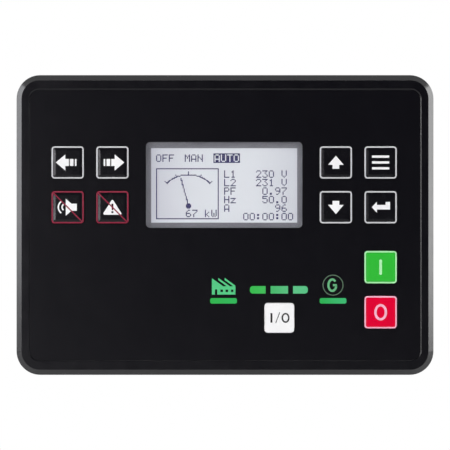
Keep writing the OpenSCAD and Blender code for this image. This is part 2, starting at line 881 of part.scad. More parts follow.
module key_breaker() {
    at(breaker_at) {
        color([0.95, 0.95, 0.96]) key_cap(breaker_size);
        color([0.2, 0.2, 0.2]) plate(key_top_y - key_relief, key_top_y) breaker_sign();
    }
}

// Lit window: its outline at the first child, its lip at the second
module lamp(y_end) {
    color(lamp_green) {
        plate(foil_front_y, wall_y) children(0);
        plate(wall_y, y_end) children(1);
    }
}

// Leg that leads light from the diode to a window
module lamp_leg(x, z, w) {
    color(lamp_green) plate(lamp_end_y, led_front_y - led_air)
        translate([x, z]) square([w, led_h], center = true);
}

module load_lamp() {
    lamp(lamp_end_y) {
        translate([load_lamp_x, lamp_z]) bar_outline(0);
        translate([load_lamp_x, lamp_z]) bar_outline(lamp_lip);
    }
    lamp_leg(load_lamp_x, lamp_z, lamp_w / 2);
}

module generator_lamp() {
    lamp(lamp_end_y) {
        translate([gen_lamp_x, lamp_z]) bar_outline(0);
        translate([gen_lamp_x, lamp_z]) bar_outline(lamp_lip);
    }
    lamp_leg(gen_lamp_x, lamp_z, lamp_w / 2);
}

// Line lamp at x, of width w, with the end on its side rounded
module line_lamp(x, w, side) {
    lamp(lamp_end_y) {
        translate([x, line_z]) line_outline(w, side, 0);
        translate([x, line_z]) line_outline(w, side, lamp_lip);
    }
    lamp_leg(x, line_z, w / 2);
}

module line_lamp_left() line_lamp(line_left_x, line_left_w, -1);
module line_lamp_middle() line_lamp(breaker_x, line_middle_w, 0);
module line_lamp_right() line_lamp(line_right_x, line_right_w, 1);

module indicator_leds() {
    color([0.9, 0.95, 0.8]) for (place = leds_at) {
        plate(led_front_y, key_board_front_y) translate(place) square([led_w, led_h], center = true);
    }
}

module keypad_board() {
    color(board_green) plate(key_board_front_y, key_board_back_y) difference() {
        board_outline(0);
        for (place = keypad_screws_at) translate(place) circle(d = board_screw_d + screw_clear);
    }
}

// Pan head screw whose head bears at y = 0 and whose thread runs towards -Y
module pan_screw(d, length) {
    rod(d, -length, 0);
    difference() {
        rod(d * screw_head_share, 0, d * screw_head_t_share);
        for (turn = [0, 90]) {
            translate([0, d * screw_head_t_share, 0]) rotate([0, turn, 0])
                cube([d, d * screw_head_t_share, d * drive_share], center = true);
        }
    }
}

module keypad_screws() {
    color(screw_steel) for (place = keypad_screws_at) {
        at(place) translate([0, key_board_back_y, 0]) pan_screw(board_screw_d, board_screw_len);
    }
}

// Cone of a dome from its foot to its top, drawn in by a wall
module dome_cone(wall) {
    rotate([90, 0, 0]) cylinder(h = dome_h - wall, d1 = dome_d - 2 * wall, d2 = dome_top_d - 2 * wall);
}

module dome_mat() {
    color([0.75, 0.75, 0.72]) difference() {
        union() {
            plate(mat_front_y, key_board_front_y) difference() {
                board_outline(mat_edge);
                for (place = keypad_screws_at) translate(place) circle(d = boss_d + 2 * screw_clear);
                translate(display_at) square([frame_w + 2 * mat_edge, frame_h + 2 * mat_edge], center = true);
                for (place = leds_at) translate(place)
                    square([led_w + mat_edge, led_h + mat_edge], center = true);
            }
            for (place = keys_at) at(place) translate([0, mat_front_y, 0]) dome_cone(0);
        }
        for (place = keys_at) at(place) {
            translate([0, mat_front_y, 0]) dome_cone(dome_wall);
            rod(dome_d - 2 * dome_wall, mat_front_y, key_board_front_y + over);
        }
    }
}

module gasket() {
    color([0.15, 0.15, 0.15]) plate(-gasket_t, 0) difference() {
        round_rect(gasket_w, gasket_h, gasket_r);
        round_rect(housing_w + 2 * gasket_gap, housing_h + 2 * gasket_gap, housing_corner_r);
    }
}

// Moves to each pole of a connector
module at_poles(c) {
    for (i = [0 : c[2] - 1]) {
        at([c[0] + (i - (c[2] - 1) / 2) * pole_pitch, c[1] * row_z]) children();
    }
}

// Rectangle about a connector, grown by a gap
module connector_outline(c, gap) {
    translate([c[0], c[1] * row_z]) square([header_w(c[2]) + 2 * gap, header_d + 2 * gap], center = true);
}

// Square hole or pin from y0 back to y1, with its centre on the Y axis
module square_rod(w, y0, y1) {
    plate(y0, y1) square(w, center = true);
}

module main_board() {
    color(board_green) difference() {
        plate(main_board_y, main_board_back_y) difference() {
            board_outline(0);
            for (place = board_bosses_at) translate(place) circle(d = board_screw_d + screw_clear);
        }
        for (c = connectors) at_poles(c)
            square_rod(pin_w + 2 * pin_gap, main_board_y - over, main_board_back_y + over);
    }
}

module main_board_screws() {
    color(screw_steel) for (place = board_bosses_at) {
        at(place) translate([0, main_board_y, 0]) mirror([0, 1, 0]) pan_screw(board_screw_d, board_screw_len);
    }
}

module terminal_headers() {
    color(terminal_green) for (i = [1 : len(connectors) - 1]) {
        c = connectors[i];
        difference() {
            plate(main_board_back_y, header_back_y) connector_outline(c, 0);
            plate(header_floor_y, header_back_y + over) connector_outline(c, -header_wall);
            at_poles(c) square_rod(pin_w + 2 * pin_gap, main_board_back_y - over, header_floor_y + over);
        }
    }
}

module terminal_pins() {
    color([0.8, 0.75, 0.6]) for (c = connectors) {
        at_poles(c) square_rod(pin_w, main_board_y - pin_tail, main_board_back_y + pin_reach);
    }
}

// Cuts of a connector's wire entries, screw holes and pin holes
module terminal_cuts(c, back_y) {
    at_poles(c) {
        square_rod(pin_w + 2 * plug_pin_gap, main_board_back_y - over,
            main_board_back_y + pin_reach + pin_gap);
        rod(terminal_screw_d + fit_gap, back_y - terminal_screw_len - screw_sink, back_y + over);
        translate([0, back_y - terminal_screw_len - screw_sink, c[1] * header_d / 2])
            cube([wire_w, 2 * wire_h, wire_depth], center = true);
    }
}

// Plug of a connector, with wire entries on the outer side and screws at the back
module terminal_plug(c) {
    color(terminal_green) difference() {
        union() {
            plate(header_floor_y, header_back_y) connector_outline(c, -header_wall - plug_gap);
            plate(header_back_y, plug_back_y) connector_outline(c, 0);
        }
        terminal_cuts(c, plug_back_y);
    }
}

module plug_upper_long() terminal_plug(connectors[1]);
module plug_upper_short() terminal_plug(connectors[2]);
module plug_lower_left() terminal_plug(connectors[3]);
module plug_lower_right() terminal_plug(connectors[4]);

module current_terminal() {
    color(terminal_green) difference() {
        plate(main_board_back_y, plug_back_y) connector_outline(connectors[0], 0);
        terminal_cuts(connectors[0], plug_back_y);
    }
}

module terminal_screws() {
    color(screw_steel) for (c = connectors) at_poles(c) difference() {
        rod(terminal_screw_d, plug_back_y - terminal_screw_len - screw_sink, plug_back_y - screw_sink);
        translate([0, plug_back_y - screw_sink, 0])
            cube([terminal_screw_d + over, 2 * drive_d, terminal_screw_d * drive_share], center = true);
    }
}

module link_places() {
    for (i = [0 : link_poles - 1], j = [-1, 1]) {
        at([link_x + (i - (link_poles - 1) / 2) * link_pitch, j * link_pitch / 2]) children();
    }
}

module link_socket() {
    color([0.1, 0.1, 0.1]) difference() {
        plate(key_board_back_y, key_board_back_y + link_socket_h) translate([link_x, 0])
            square([link_poles * link_pitch, 2 * link_pitch], center = true);
        link_places() square_rod(link_pin_w + 2 * link_pin_gap, link_pin_start_y - link_pin_gap,
            key_board_back_y + link_socket_h + over);
    }
}

module link_header() {
    color([0.15, 0.15, 0.15]) {
        plate(main_board_y - link_base, main_board_y) translate([link_x, 0])
            square([link_poles * link_pitch, 2 * link_pitch], center = true);
        link_places() square_rod(link_pin_w, link_pin_start_y, main_board_y);
    }
}

module usb_socket() {
    color(screw_steel) translate([0, main_board_y - usb_h / 2, usb_mouth_z]) {
        difference() {
            translate([0, 0, usb_len / 2]) cube([usb_w, usb_h, usb_len], center = true);
            translate([0, 0, usb_hole_depth / 2 - over])
                cube([usb_hole_w, usb_hole_h, usb_hole_depth + over], center = true);
        }
        translate([0, 0, usb_hole_depth / 2 + usb_gap])
            cube([usb_tongue_w, usb_tongue_h, usb_hole_depth], center = true);
    }
}

// Holder of the backup cell, on the front of the main board
module cell_holder() {
    color([0.12, 0.12, 0.12]) at([cell_x, 0]) difference() {
        rod(cell_d + 2 * cell_wall, main_board_y - cell_floor - cell_t, main_board_y);
        rod(cell_d + 2 * fit_gap, main_board_y - cell_floor - cell_t - over, main_board_y - cell_floor);
    }
}

module backup_cell() {
    color([0.8, 0.8, 0.82]) at([cell_x, 0])
        rod(cell_d, main_board_y - cell_floor - cell_t, main_board_y - cell_floor);
}

module processor() {
    color([0.1, 0.1, 0.1]) at([cell_x + cell_d / 2 + cell_wall + chip_gap + chip_w / 2, 0])
        plate(main_board_y - chip_t, main_board_y) square(chip_w, center = true);
}

// Tall parts in the raised middle, on the back of the main board
module relays() {
    color([0.2, 0.25, 0.6]) for (i = [0, 1]) {
        translate([block_w * relay_x_share - i * relay_pitch, main_board_back_y + relay_size[1] / 2, 0])
            cube(relay_size, center = true);
    }
}

module capacitors() {
    color([0.15, 0.15, 0.3]) for (i = [0, 1]) {
        at([block_w * cap_x_share + i * cap_pitch, 0])
            rod(cap_d, main_board_back_y, main_board_back_y + cap_len);
    }
}

module choke() {
    color([0.6, 0.35, 0.15]) at([choke_x, 0]) difference() {
        rod(choke_d, main_board_back_y, main_board_back_y + choke_t);
        rod(choke_hole_d, main_board_back_y - over, main_board_back_y + choke_t + over);
    }
}

module deck_bosses() {
    for (place = board_bosses_at) at(place) rod(boss_d, main_board_back_y, deck_in_y + over);
}

module corner_posts() {
    four_corners() at([post_x, post_z]) rod(post_d, flange_front_y, deck_in_y + over);
}

// Two slots in a long wall for a clamp's tabs
module clamp_slots() {
    for (side = clamp_sides) {
        at([side[0] * clamp_x, side[1] * (housing_h - housing_wall) / 2])
            plate(clamp_tab_y - clamp_tab_gap, clamp_tab_y + clamp_tab_len + clamp_tab_gap)
                square([clamp_tab_w + 2 * clamp_tab_gap, housing_wall + 2 * over], center = true);
    }
}

module vents() {
    for (i = [-vent_count : vent_count]) {
        translate([i * vent_pitch, vent_y + vent_len / 2, 0])
            cube([vent_w, vent_len, block_h + 2 * over], center = true);
    }
}

module rear_housing() {
    color([0.12, 0.12, 0.13]) difference() {
        union() {
            difference() {
                union() {
                    plate(flange_front_y, flange_back_y) round_rect(flange_w, flange_h, flange_r);
                    plate(flange_back_y, deck_y) round_rect(housing_w, housing_h, housing_corner_r);
                    plate(deck_in_y, back_y) round_rect(block_w, block_h, housing_corner_r);
                }
                plate(flange_front_y - over, deck_in_y) round_rect(cavity_w, cavity_h, cavity_r);
                plate(deck_in_y - over, back_in_y)
                    round_rect(block_w - 2 * housing_wall, block_h - 2 * housing_wall, cavity_r);
            }
            deck_bosses();
            corner_posts();
        }
        four_corners() at([post_x, post_z])
            rod(housing_screw_d + screw_clear, flange_front_y - over, deck_y + over);
        for (place = board_bosses_at) at(place)
            rod(board_screw_d + fit_gap, main_board_back_y - over, main_board_y + board_screw_len + fit_gap);
        for (c = connectors) plate(deck_in_y - over, deck_y + over) connector_outline(c, slot_gap);
        plate(back_y - cover_t, back_y + over)
            square([cover_w + 2 * cover_gap, cover_h + 2 * cover_gap], center = true);
        plate(back_in_y - over, back_y + over)
            square([cover_w - 2 * cover_ledge, cover_h - 2 * cover_ledge], center = true);
        translate([0, usb_front_y + usb_h / 2, -housing_h / 2])
            cube([usb_w + 2 * usb_gap, usb_h + 2 * usb_gap, 2 * (housing_wall + over)], center = true);
        clamp_slots();
        vents();
    }
}

module module_cover() {
    color([0.15, 0.15, 0.16]) difference() {
        plate(back_y - cover_t, back_y) square([cover_w, cover_h], center = true);
        for (side = [-1, 1]) {
            translate([side * cover_w / 2, back_y, 0]) cube([2 * notch_t, cover_t, notch_w], center = true);
        }
    }
}

module housing_screws() {
    color(screw_steel) four_corners() at([post_x, post_z]) translate([0, deck_y, 0])
        pan_screw(housing_screw_d, deck_y - wall_y - front_wall / 2);
}

// Moves to a clamp
module at_clamp(side) {
    at([side[0] * clamp_x, side[1] * clamp_screw_z]) children();
}

module clamp_brackets() {
    color([0.2, 0.2, 0.21]) for (side = clamp_sides) {
        difference() {
            union() {
                at_clamp(side) plate(clamp_y, clamp_y + clamp_len) square([clamp_w, clamp_h], center = true);
                at([side[0] * clamp_x, side[1] * (housing_h / 2 - tab_drop)])
                    plate(clamp_tab_y, clamp_tab_y + clamp_tab_len)
                        square([clamp_tab_w, 2 * tab_drop + over], center = true);
            }
            at_clamp(side) rod(clamp_screw_d + 2 * clamp_clear, clamp_y - over, clamp_y + clamp_len + over);
        }
    }
}

module clamp_foot(n) {
    color([0.3, 0.3, 0.32]) at_clamp(clamp_sides[n - 1]) difference() {
        rod(foot_d, panel_t, panel_t + foot_len);
        rod(clamp_screw_d + 2 * clamp_clear, panel_t + foot_floor, panel_t + foot_len + over);
    }
}

module clamp_screw(n) {
    color(screw_steel) at_clamp(clamp_sides[n - 1]) {
        rod(clamp_screw_d, panel_t + foot_floor, clamp_head_y);
        difference() {
            rod(clamp_head_d, clamp_head_y, clamp_head_y + clamp_head_t);
            translate([0, clamp_head_y + clamp_head_t, 0])
                cube([clamp_head_d + over, 2 * drive_d, drive_w], center = true);
        }
    }
}

module clamp_foot_1() clamp_foot(1);
module clamp_foot_2() clamp_foot(2);
module clamp_foot_3() clamp_foot(3);
module clamp_foot_4() clamp_foot(4);
module clamp_screw_1() clamp_screw(1);
module clamp_screw_2() clamp_screw(2);
module clamp_screw_3() clamp_screw(3);
module clamp_screw_4() clamp_screw(4);

bezel();
front_foil();
display_window();
display_frame();
display_glass();
display_backlight();
display_board();
key_left();
key_right();
key_horn_reset();
key_fault_reset();
key_up();
key_menu();
key_down();
key_enter();
key_start();
key_stop();
key_breaker();
load_lamp();
generator_lamp();
line_lamp_left();
line_lamp_middle();
line_lamp_right();
dome_mat();
keypad_board();
indicator_leds();
keypad_screws();
main_board();
main_board_screws();
link_socket();
link_header();
terminal_headers();
terminal_pins();
terminal_screws();
current_terminal();
plug_upper_long();
plug_upper_short();
plug_lower_left();
plug_lower_right();
usb_socket();
backup_cell();
cell_holder();
relays();
capacitors();
processor();
choke();
rear_housing();
module_cover();
gasket();
housing_screws();
clamp_brackets();
clamp_foot_1();
clamp_foot_2();
clamp_foot_3();
clamp_foot_4();
clamp_screw_1();
clamp_screw_2();
clamp_screw_3();
clamp_screw_4();
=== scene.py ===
"""Genset controller: finishes, display content, printed signs, light and camera."""
import math

import bmesh
import bpy
from mathutils import Matrix, Vector


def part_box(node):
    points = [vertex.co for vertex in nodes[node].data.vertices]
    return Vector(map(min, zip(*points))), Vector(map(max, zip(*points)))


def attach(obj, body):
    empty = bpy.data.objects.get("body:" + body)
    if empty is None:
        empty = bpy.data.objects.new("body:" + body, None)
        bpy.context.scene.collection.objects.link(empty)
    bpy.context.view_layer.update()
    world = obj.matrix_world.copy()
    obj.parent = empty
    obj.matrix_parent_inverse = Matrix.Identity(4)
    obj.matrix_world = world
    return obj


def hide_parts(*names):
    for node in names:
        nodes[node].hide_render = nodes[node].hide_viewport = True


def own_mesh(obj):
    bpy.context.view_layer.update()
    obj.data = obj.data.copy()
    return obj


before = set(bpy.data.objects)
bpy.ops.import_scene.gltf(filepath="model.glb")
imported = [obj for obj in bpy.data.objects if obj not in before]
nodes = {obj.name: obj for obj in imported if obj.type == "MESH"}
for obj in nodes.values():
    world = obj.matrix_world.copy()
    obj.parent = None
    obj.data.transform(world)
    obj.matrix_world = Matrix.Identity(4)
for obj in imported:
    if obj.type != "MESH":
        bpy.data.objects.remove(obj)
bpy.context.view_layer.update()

MM = 0.001

# Planes that the prints lie on, and their thickness
FOIL_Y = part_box("front_foil")[0].y
GLASS_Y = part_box("display_glass")[0].y
PRINT_T = 0.03 * MM


# Objects and meshes

def add_object(name, data):
    """Adds an object to the scene."""
    thing = bpy.data.objects.new(name, data)
    bpy.context.scene.collection.objects.link(thing)
    return thing


def finished_mesh(name, mesh):
    """Turns mesh code's result into mesh data."""
    data = bpy.data.meshes.new(name)
    mesh.to_mesh(data)
    mesh.free()
    return data


def evaluated_mesh(thing):
    """A new mesh of an object's final shape."""
    bpy.context.view_layer.update()
    return bpy.data.meshes.new_from_object(thing.evaluated_get(bpy.context.evaluated_depsgraph_get()))


def only_material(data, material):
    """Gives mesh data one material."""
    data.materials.clear()
    data.materials.append(material)


def smooth(data, sharp_degrees):
    """Shades mesh data smooth between edges sharper than an angle."""
    for face in data.polygons:
        face.use_smooth = True
    data.set_sharp_from_angle(angle=math.radians(sharp_degrees))


def add_print(name, data, material):
    """Adds a piece of one material that rides on the case."""
    only_material(data, material)
    piece = add_object(name, data)
    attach(piece, "case")


# Materials

# Sockets of a colour's mix node: its factor, its two colours and its result
MIX_FACTOR, MIX_FIRST, MIX_SECOND, MIX_RESULT = 0, 6, 7, 2
# Moulded plastic: cells a metre of its patches and smears, how far the patches vary, and the
# shape of the smears
PATCH_CELLS, SMEAR_CELLS = 60, 220
PATCH_SHARE = 0.12
SMEAR_STRETCH = (1, 1, 0.6)
GRAIN_DEPTH = 0.04 * MM
# Metal: cells a metre of its tint and scratches, the scratches' depth, and the radius in mm that
# its edges look rounded to
TINT_CELLS, SCRATCH_CELLS = 150, 900
SCRATCH_DEPTH = 0.02 * MM
METAL_EDGE = 0.1
# Share of a lit piece's tone that its own colour has, where the glow gives the rest
BODY_TONE_SHARE = 0.3


def new_material(name):
    """Returns an empty node material with its node tree and its output."""
    material = bpy.data.materials.new(name)
    material.use_nodes = True
    tree = material.node_tree
    tree.nodes.clear()
    output = tree.nodes.new("ShaderNodeOutputMaterial")
    return material, tree, output


def add_node(tree, kind, **values):
    """Adds a node; values are its properties, or its inputs where the name has capitals."""
    node = tree.nodes.new(kind)
    for key, value in values.items():
        if key in node.inputs:
            node.inputs[key].default_value = value
        else:
            setattr(node, key, value)
    return node


def object_position(tree):
    """Position in the object's own frame, in metres."""
    return add_node(tree, "ShaderNodeTexCoord").outputs["Object"]


def noise(tree, scale, detail=2.0, stretch=(1, 1, 1)):
    """Noise with the given number of cells a metre."""
    mapping = add_node(tree, "ShaderNodeMapping")
    mapping.inputs["Scale"].default_value = stretch
    tree.links.new(object_position(tree), mapping.inputs["Vector"])
    texture = add_node(tree, "ShaderNodeTexNoise", Scale=scale, Detail=detail)
    tree.links.new(mapping.outputs["Vector"], texture.inputs["Vector"])
    return texture.outputs["Fac"]


def spread(tree, value, low, high, start=0.3, end=0.7):
    """Maps a value from start..end to low..high; the range that is set suits a noise."""
    node = add_node(tree, "ShaderNodeMapRange")
    node.inputs["From Min"].default_value = start
    node.inputs["From Max"].default_value = end
    node.inputs["To Min"].default_value = low
    node.inputs["To Max"].default_value = high
    tree.links.new(value, node.inputs["Value"])
    return node.outputs["Result"]


def two_colours(tree, factor, first, second):
    """Mixes two colours by a factor."""
    mix = add_node(tree, "ShaderNodeMix", data_type="RGBA")
    mix.inputs[MIX_FIRST].default_value = (*first, 1)
    mix.inputs[MIX_SECOND].default_value = (*second, 1)
    tree.links.new(factor, mix.inputs[MIX_FACTOR])
    return mix.outputs[MIX_RESULT]


def shade(colour, factor):
    """A colour made lighter or darker."""
    return tuple(min(1.0, c * factor) for c in colour)


def darkened(tree, tone, share):
    """A share of a colour."""
    mix = add_node(tree, "ShaderNodeMix", data_type="RGBA")
    mix.inputs[MIX_FACTOR].default_value = share
    mix.inputs[MIX_FIRST].default_value = (0, 0, 0, 1)
    tree.links.new(tone, mix.inputs[MIX_SECOND])
    return mix.outputs[MIX_RESULT]


def math_node(tree, operation, first, second=None):
    """Adds a math node; each operand is a number or a socket."""
    node = add_node(tree, "ShaderNodeMath", operation=operation)
    for socket, operand in zip(node.inputs, (first, second)):
        if isinstance(operand, (int, float)):
            socket.default_value = operand
        elif operand is not None:
            tree.links.new(operand, socket)
    return node.outputs[0]


def rough_surface(tree, bsdf, height, strength, distance, edge=0):
    """Gives a shader a relief, and edges that look rounded to a radius in mm."""
    relief = add_node(tree, "ShaderNodeBump", Strength=strength, Distance=distance)
    tree.links.new(height, relief.inputs["Height"])
    if edge:
        rounded = add_node(tree, "ShaderNodeBevel", samples=4, Radius=edge * MM)
        tree.links.new(rounded.outputs["Normal"], relief.inputs["Normal"])
    tree.links.new(relief.outputs["Normal"], bsdf.inputs["Normal"])


def moulded(name, colour, roughness=0.45, grain=1800, bump=0.25, specular=0.4, edge=0.15, smear=0.12):
    """Moulded plastic: fine grain in cells a metre, uneven colour and gloss, and edges softened in mm."""
    material, tree, output = new_material(name)
    bsdf = add_node(tree, "ShaderNodeBsdfPrincipled")
    bsdf.inputs["Specular IOR Level"].default_value = specular
    patches = noise(tree, PATCH_CELLS, detail=4)
    tint = two_colours(tree, patches, shade(colour, 1 - PATCH_SHARE), shade(colour, 1 + PATCH_SHARE))
    tree.links.new(tint, bsdf.inputs["Base Color"])
    smears = noise(tree, SMEAR_CELLS, detail=5, stretch=SMEAR_STRETCH)
    gloss = spread(tree, smears, roughness * (1 - smear), roughness * (1 + smear))
    tree.links.new(gloss, bsdf.inputs["Roughness"])
    rough_surface(tree, bsdf, noise(tree, grain, detail=3), bump, GRAIN_DEPTH, edge)
    tree.links.new(bsdf.outputs["BSDF"], output.inputs["Surface"])
    return material


def metal(name, colour, roughness):
    """Plated or bare metal with fine scratches and uneven gloss."""
    material, tree, output = new_material(name)
    bsdf = add_node(tree, "ShaderNodeBsdfPrincipled", Metallic=1.0)
    tint = two_colours(tree, noise(tree, TINT_CELLS, detail=4), shade(colour, 0.85), shade(colour, 1.08))
    tree.links.new(tint, bsdf.inputs["Base Color"])
    worn = noise(tree, SCRATCH_CELLS, detail=6)
    tree.links.new(spread(tree, worn, roughness * 0.7, roughness * 1.4), bsdf.inputs["Roughness"])
    rough_surface(tree, bsdf, worn, 0.2, SCRATCH_DEPTH, METAL_EDGE)
    tree.links.new(bsdf.outputs["BSDF"], output.inputs["Surface"])
    return material


def glowing(tree, bsdf, tone, strength):
    """Makes a shader glow in a tone, over a darker body of the same tone."""
    tree.links.new(tone, bsdf.inputs["Emission Color"])
    tree.links.new(darkened(tree, tone, BODY_TONE_SHARE), bsdf.inputs["Base Color"])
    bsdf.inputs["Emission Strength"].default_value = strength


def lit(name, left_colour, right_colour, strength):
    """Lit window: a satin face over a soft glow whose tone shifts from the left to the right."""
    material, tree, output = new_material(name)
    bsdf = add_node(tree, "ShaderNodeBsdfPrincipled", Roughness=0.35)
    bsdf.inputs["Specular IOR Level"].default_value = 0.3
    axes = add_node(tree, "ShaderNodeSeparateXYZ")
    tree.links.new(add_node(tree, "ShaderNodeTexCoord").outputs["Generated"], axes.inputs["Vector"])
    soft = spread(tree, noise(tree, TINT_CELLS), -0.15, 0.15)
    tone = two_colours(tree, math_node(tree, "ADD", axes.outputs["X"], soft), left_colour, right_colour)
    glowing(tree, bsdf, tone, strength)
    tree.links.new(bsdf.outputs["BSDF"], output.inputs["Surface"])
    return material


# Display cell: its left, right and lower side, the stretch with full light, the light's share at
# the right side, the extra light along the foot and its height, and how far the light is cloudy;
# the fall-off towards the left and right sides is the backlight's own fall-off together with painted shade
# of the frame
CELL_LEFT, CELL_RIGHT, CELL_BOTTOM = -32.6 * MM, 31 * MM, 1.3 * MM
FULL_LEFT, FULL_RIGHT = -4 * MM, 12 * MM
RIGHT_LIGHT = 0.45
FOOT_LIGHT, FOOT_H = 0.25, 3 * MM
CLOUD_CELLS, CLOUD_LIGHT = 30, 0.06
# Raster of the display: its dots' pitch, the gap between them, its upper left corner, and how
# much lighter the gaps are
DOT_PITCH = 0.4715 * MM
DOT_GAP_SHARE = 0.02
DOT_LEFT = -31.53 * MM
DOT_TOP = 32.24 * MM
GAP_LIGHT = 0.035


def backlit_cell(name, light, dark, strength):
    """Display cell: lit from behind, dimmer to the left and right (backlight fall-off together with painted
    shade of the frame), unlit dots faintly visible.
    """
    material, tree, output = new_material(name)
    bsdf = add_node(tree, "ShaderNodeBsdfPrincipled", Roughness=0.3)
    bsdf.inputs["Specular IOR Level"].default_value = 0.25
    axes = add_node(tree, "ShaderNodeSeparateXYZ")
    tree.links.new(object_position(tree), axes.inputs["Vector"])
    # Painted shade: the glow falls off towards the left and right sides, standing for the frame's shadow as
    # well as the backlight's own fall-off
    short_of = spread(tree, axes.outputs["X"], 1, 0, start=CELL_LEFT, end=FULL_LEFT)
    left = math_node(tree, "SUBTRACT", 1, math_node(tree, "MULTIPLY", short_of, short_of))
    right = spread(tree, axes.outputs["X"], 1, RIGHT_LIGHT, start=FULL_RIGHT, end=CELL_RIGHT)
    foot = spread(tree, axes.outputs["Z"], FOOT_LIGHT, 0, start=CELL_BOTTOM, end=CELL_BOTTOM + FOOT_H)
    cloudy = spread(tree, noise(tree, CLOUD_CELLS), -CLOUD_LIGHT, CLOUD_LIGHT)
    across = math_node(tree, "MINIMUM", left, right)
    level = math_node(tree, "ADD", across, math_node(tree, "ADD", foot, cloudy))
    lines = None
    for axis, start in (("X", DOT_LEFT), ("Z", DOT_TOP)):
        step = math_node(tree, "DIVIDE", math_node(tree, "SUBTRACT", axes.outputs[axis], start), DOT_PITCH)
        part = math_node(tree, "FRACT", step)
        edge = math_node(tree, "LESS_THAN", part, DOT_GAP_SHARE)
        lines = edge if lines is None else math_node(tree, "MAXIMUM", lines, edge)
    lifted = math_node(tree, "ADD", level, math_node(tree, "MULTIPLY", lines, GAP_LIGHT))
    glowing(tree, bsdf, two_colours(tree, lifted, dark, light), strength)
    tree.links.new(bsdf.outputs["BSDF"], output.inputs["Surface"])
    return material


def clear_pane(name):
    """Clear pane with a faint uneven gloss."""
    material, tree, output = new_material(name)
    bsdf = add_node(tree, "ShaderNodeBsdfPrincipled", IOR=1.35, Roughness=0.0)
    bsdf.inputs["Base Color"].default_value = (1, 1, 1, 1)
    bsdf.inputs["Transmission Weight"].default_value = 1.0
    rough_surface(tree, bsdf, noise(tree, 40), 0.02, 0.01 * MM)
    tree.links.new(bsdf.outputs["BSDF"], output.inputs["Surface"])
    return material


FRONT_BLACK = (0.0026, 0.0024, 0.0042)
KEY_SIGN = {"roughness": 0.4, "grain": 3000, "bump": 0.05}
KEY_COLOUR = {"roughness": 0.4, "grain": 3000, "bump": 0.06}
FRONT_FILM = {"roughness": 0.26, "grain": 4200, "bump": 0.12}
bezel_black = moulded("bezel_black", FRONT_BLACK, roughness=0.24, grain=2600, bump=0.2, specular=0.38)
foil_black = moulded("foil_black", FRONT_BLACK, specular=0.25, smear=0.05, **FRONT_FILM)
cap_black = moulded("cap_black", FRONT_BLACK, specular=0.3, edge=0.5, **FRONT_FILM)
cap_green = moulded("cap_green", (0.026, 0.475, 0.034), specular=0.22, **KEY_COLOUR)
cap_red = moulded("cap_red", (0.73, 0.0, 0.032), specular=0.06, **KEY_COLOUR)
cap_white = moulded("cap_white", (0.92, 0.92, 0.93), **KEY_SIGN)
sign_white = moulded("sign_white", (0.9, 0.9, 0.91), **KEY_SIGN)
line_white = moulded("line_white", (0.60, 0.60, 0.62), **KEY_SIGN)
sign_red = moulded("sign_red", (0.25, 0.010, 0.038), specular=0.3, **KEY_SIGN)
sign_green = moulded("sign_green", (0.44, 0.92, 0.46), **KEY_SIGN)
sign_pink = moulded("sign_pink", (1.0, 0.46, 0.60), **KEY_SIGN)
sign_dark = moulded("sign_dark", (0.006, 0.006, 0.007), grain=3000, bump=0.05)
frame_grey = moulded("frame_grey", (0.171, 0.171, 0.201), roughness=0.5, grain=2600, bump=0.1)
housing_black = moulded(
    "housing_black", (0.012, 0.012, 0.013), roughness=0.5, grain=1500, bump=0.4, specular=0.45,
)
clamp_black = moulded("clamp_black", (0.02, 0.02, 0.022), roughness=0.48, grain=1400, bump=0.4)
inner_black = moulded("inner_black", (0.015, 0.015, 0.015))
silicone = moulded("silicone", (0.5, 0.5, 0.47), roughness=0.7, grain=900)
gasket_foam = moulded(
    "gasket_foam", (0.012, 0.012, 0.012), roughness=0.9, grain=1100, bump=0.8, specular=0.2,
)
board_green = moulded("board_green", (0.008, 0.09, 0.03), roughness=0.3, grain=700, bump=0.15)
terminal_green = moulded("terminal_green", (0.012, 0.22, 0.055), roughness=0.42, grain=1500, bump=0.2)
relay_blue = moulded("relay_blue", (0.02, 0.05, 0.35), roughness=0.3)
capacitor_sleeve = moulded("capacitor_sleeve", (0.01, 0.012, 0.05), roughness=0.25)
winding = moulded("winding", (0.45, 0.12, 0.03), roughness=0.35, grain=400, bump=0.6)
diffuser = moulded("diffuser", (0.8, 0.82, 0.84), roughness=0.4)
steel = metal("zinc_steel", (0.62, 0.62, 0.64), roughness=0.28)
tinned = metal("tinned_brass", (0.72, 0.68, 0.56), roughness=0.3)
pane = clear_pane("clear_pane")
display_cell = backlit_cell("display_light", (0.69, 0.712, 0.76), (0.515, 0.522, 0.59), strength=0.72)
ink = moulded(
    "display_ink", (0.014, 0.011, 0.1), roughness=0.6, grain=3000, bump=0.02, specular=0.1, edge=0,
)

# Keys: height of the raised line and sign, share of it that the lower sign has, rise of the
# field above the line's foot, width of the line, radius of its inner corners, and how closely
# a height is told from another
KEY_RELIEF = 0.12 * MM
LOW_RELIEF_SHARE = 0.6
FIELD_RISE = 0.16 * MM
KEY_LINE = 0.65 * MM
LINE_INNER_R = 0.75 * MM
SAME_HEIGHT = 0.01 * MM
# Places of a key's materials, in the order that its finish gives them
CAP, LINE, SIGN, LOW_SIGN = range(4)
KEY_FINISH = {
    "key_left": (cap_black, line_white, sign_white), "key_right": (cap_black, line_white, sign_white),
    "key_up": (cap_black, line_white, sign_white), "key_down": (cap_black, line_white, sign_white),
    "key_menu": (cap_black, line_white, sign_white), "key_enter": (cap_black, line_white, sign_white),
    "key_horn_reset": (cap_black, sign_red, sign_red, sign_white),
    "key_fault_reset": (cap_black, sign_red, sign_red, sign_white),
    "key_start": (cap_green, sign_green, sign_green), "key_stop": (cap_red, sign_pink, sign_pink),
    "key_breaker": (cap_white, sign_dark, sign_dark),
}


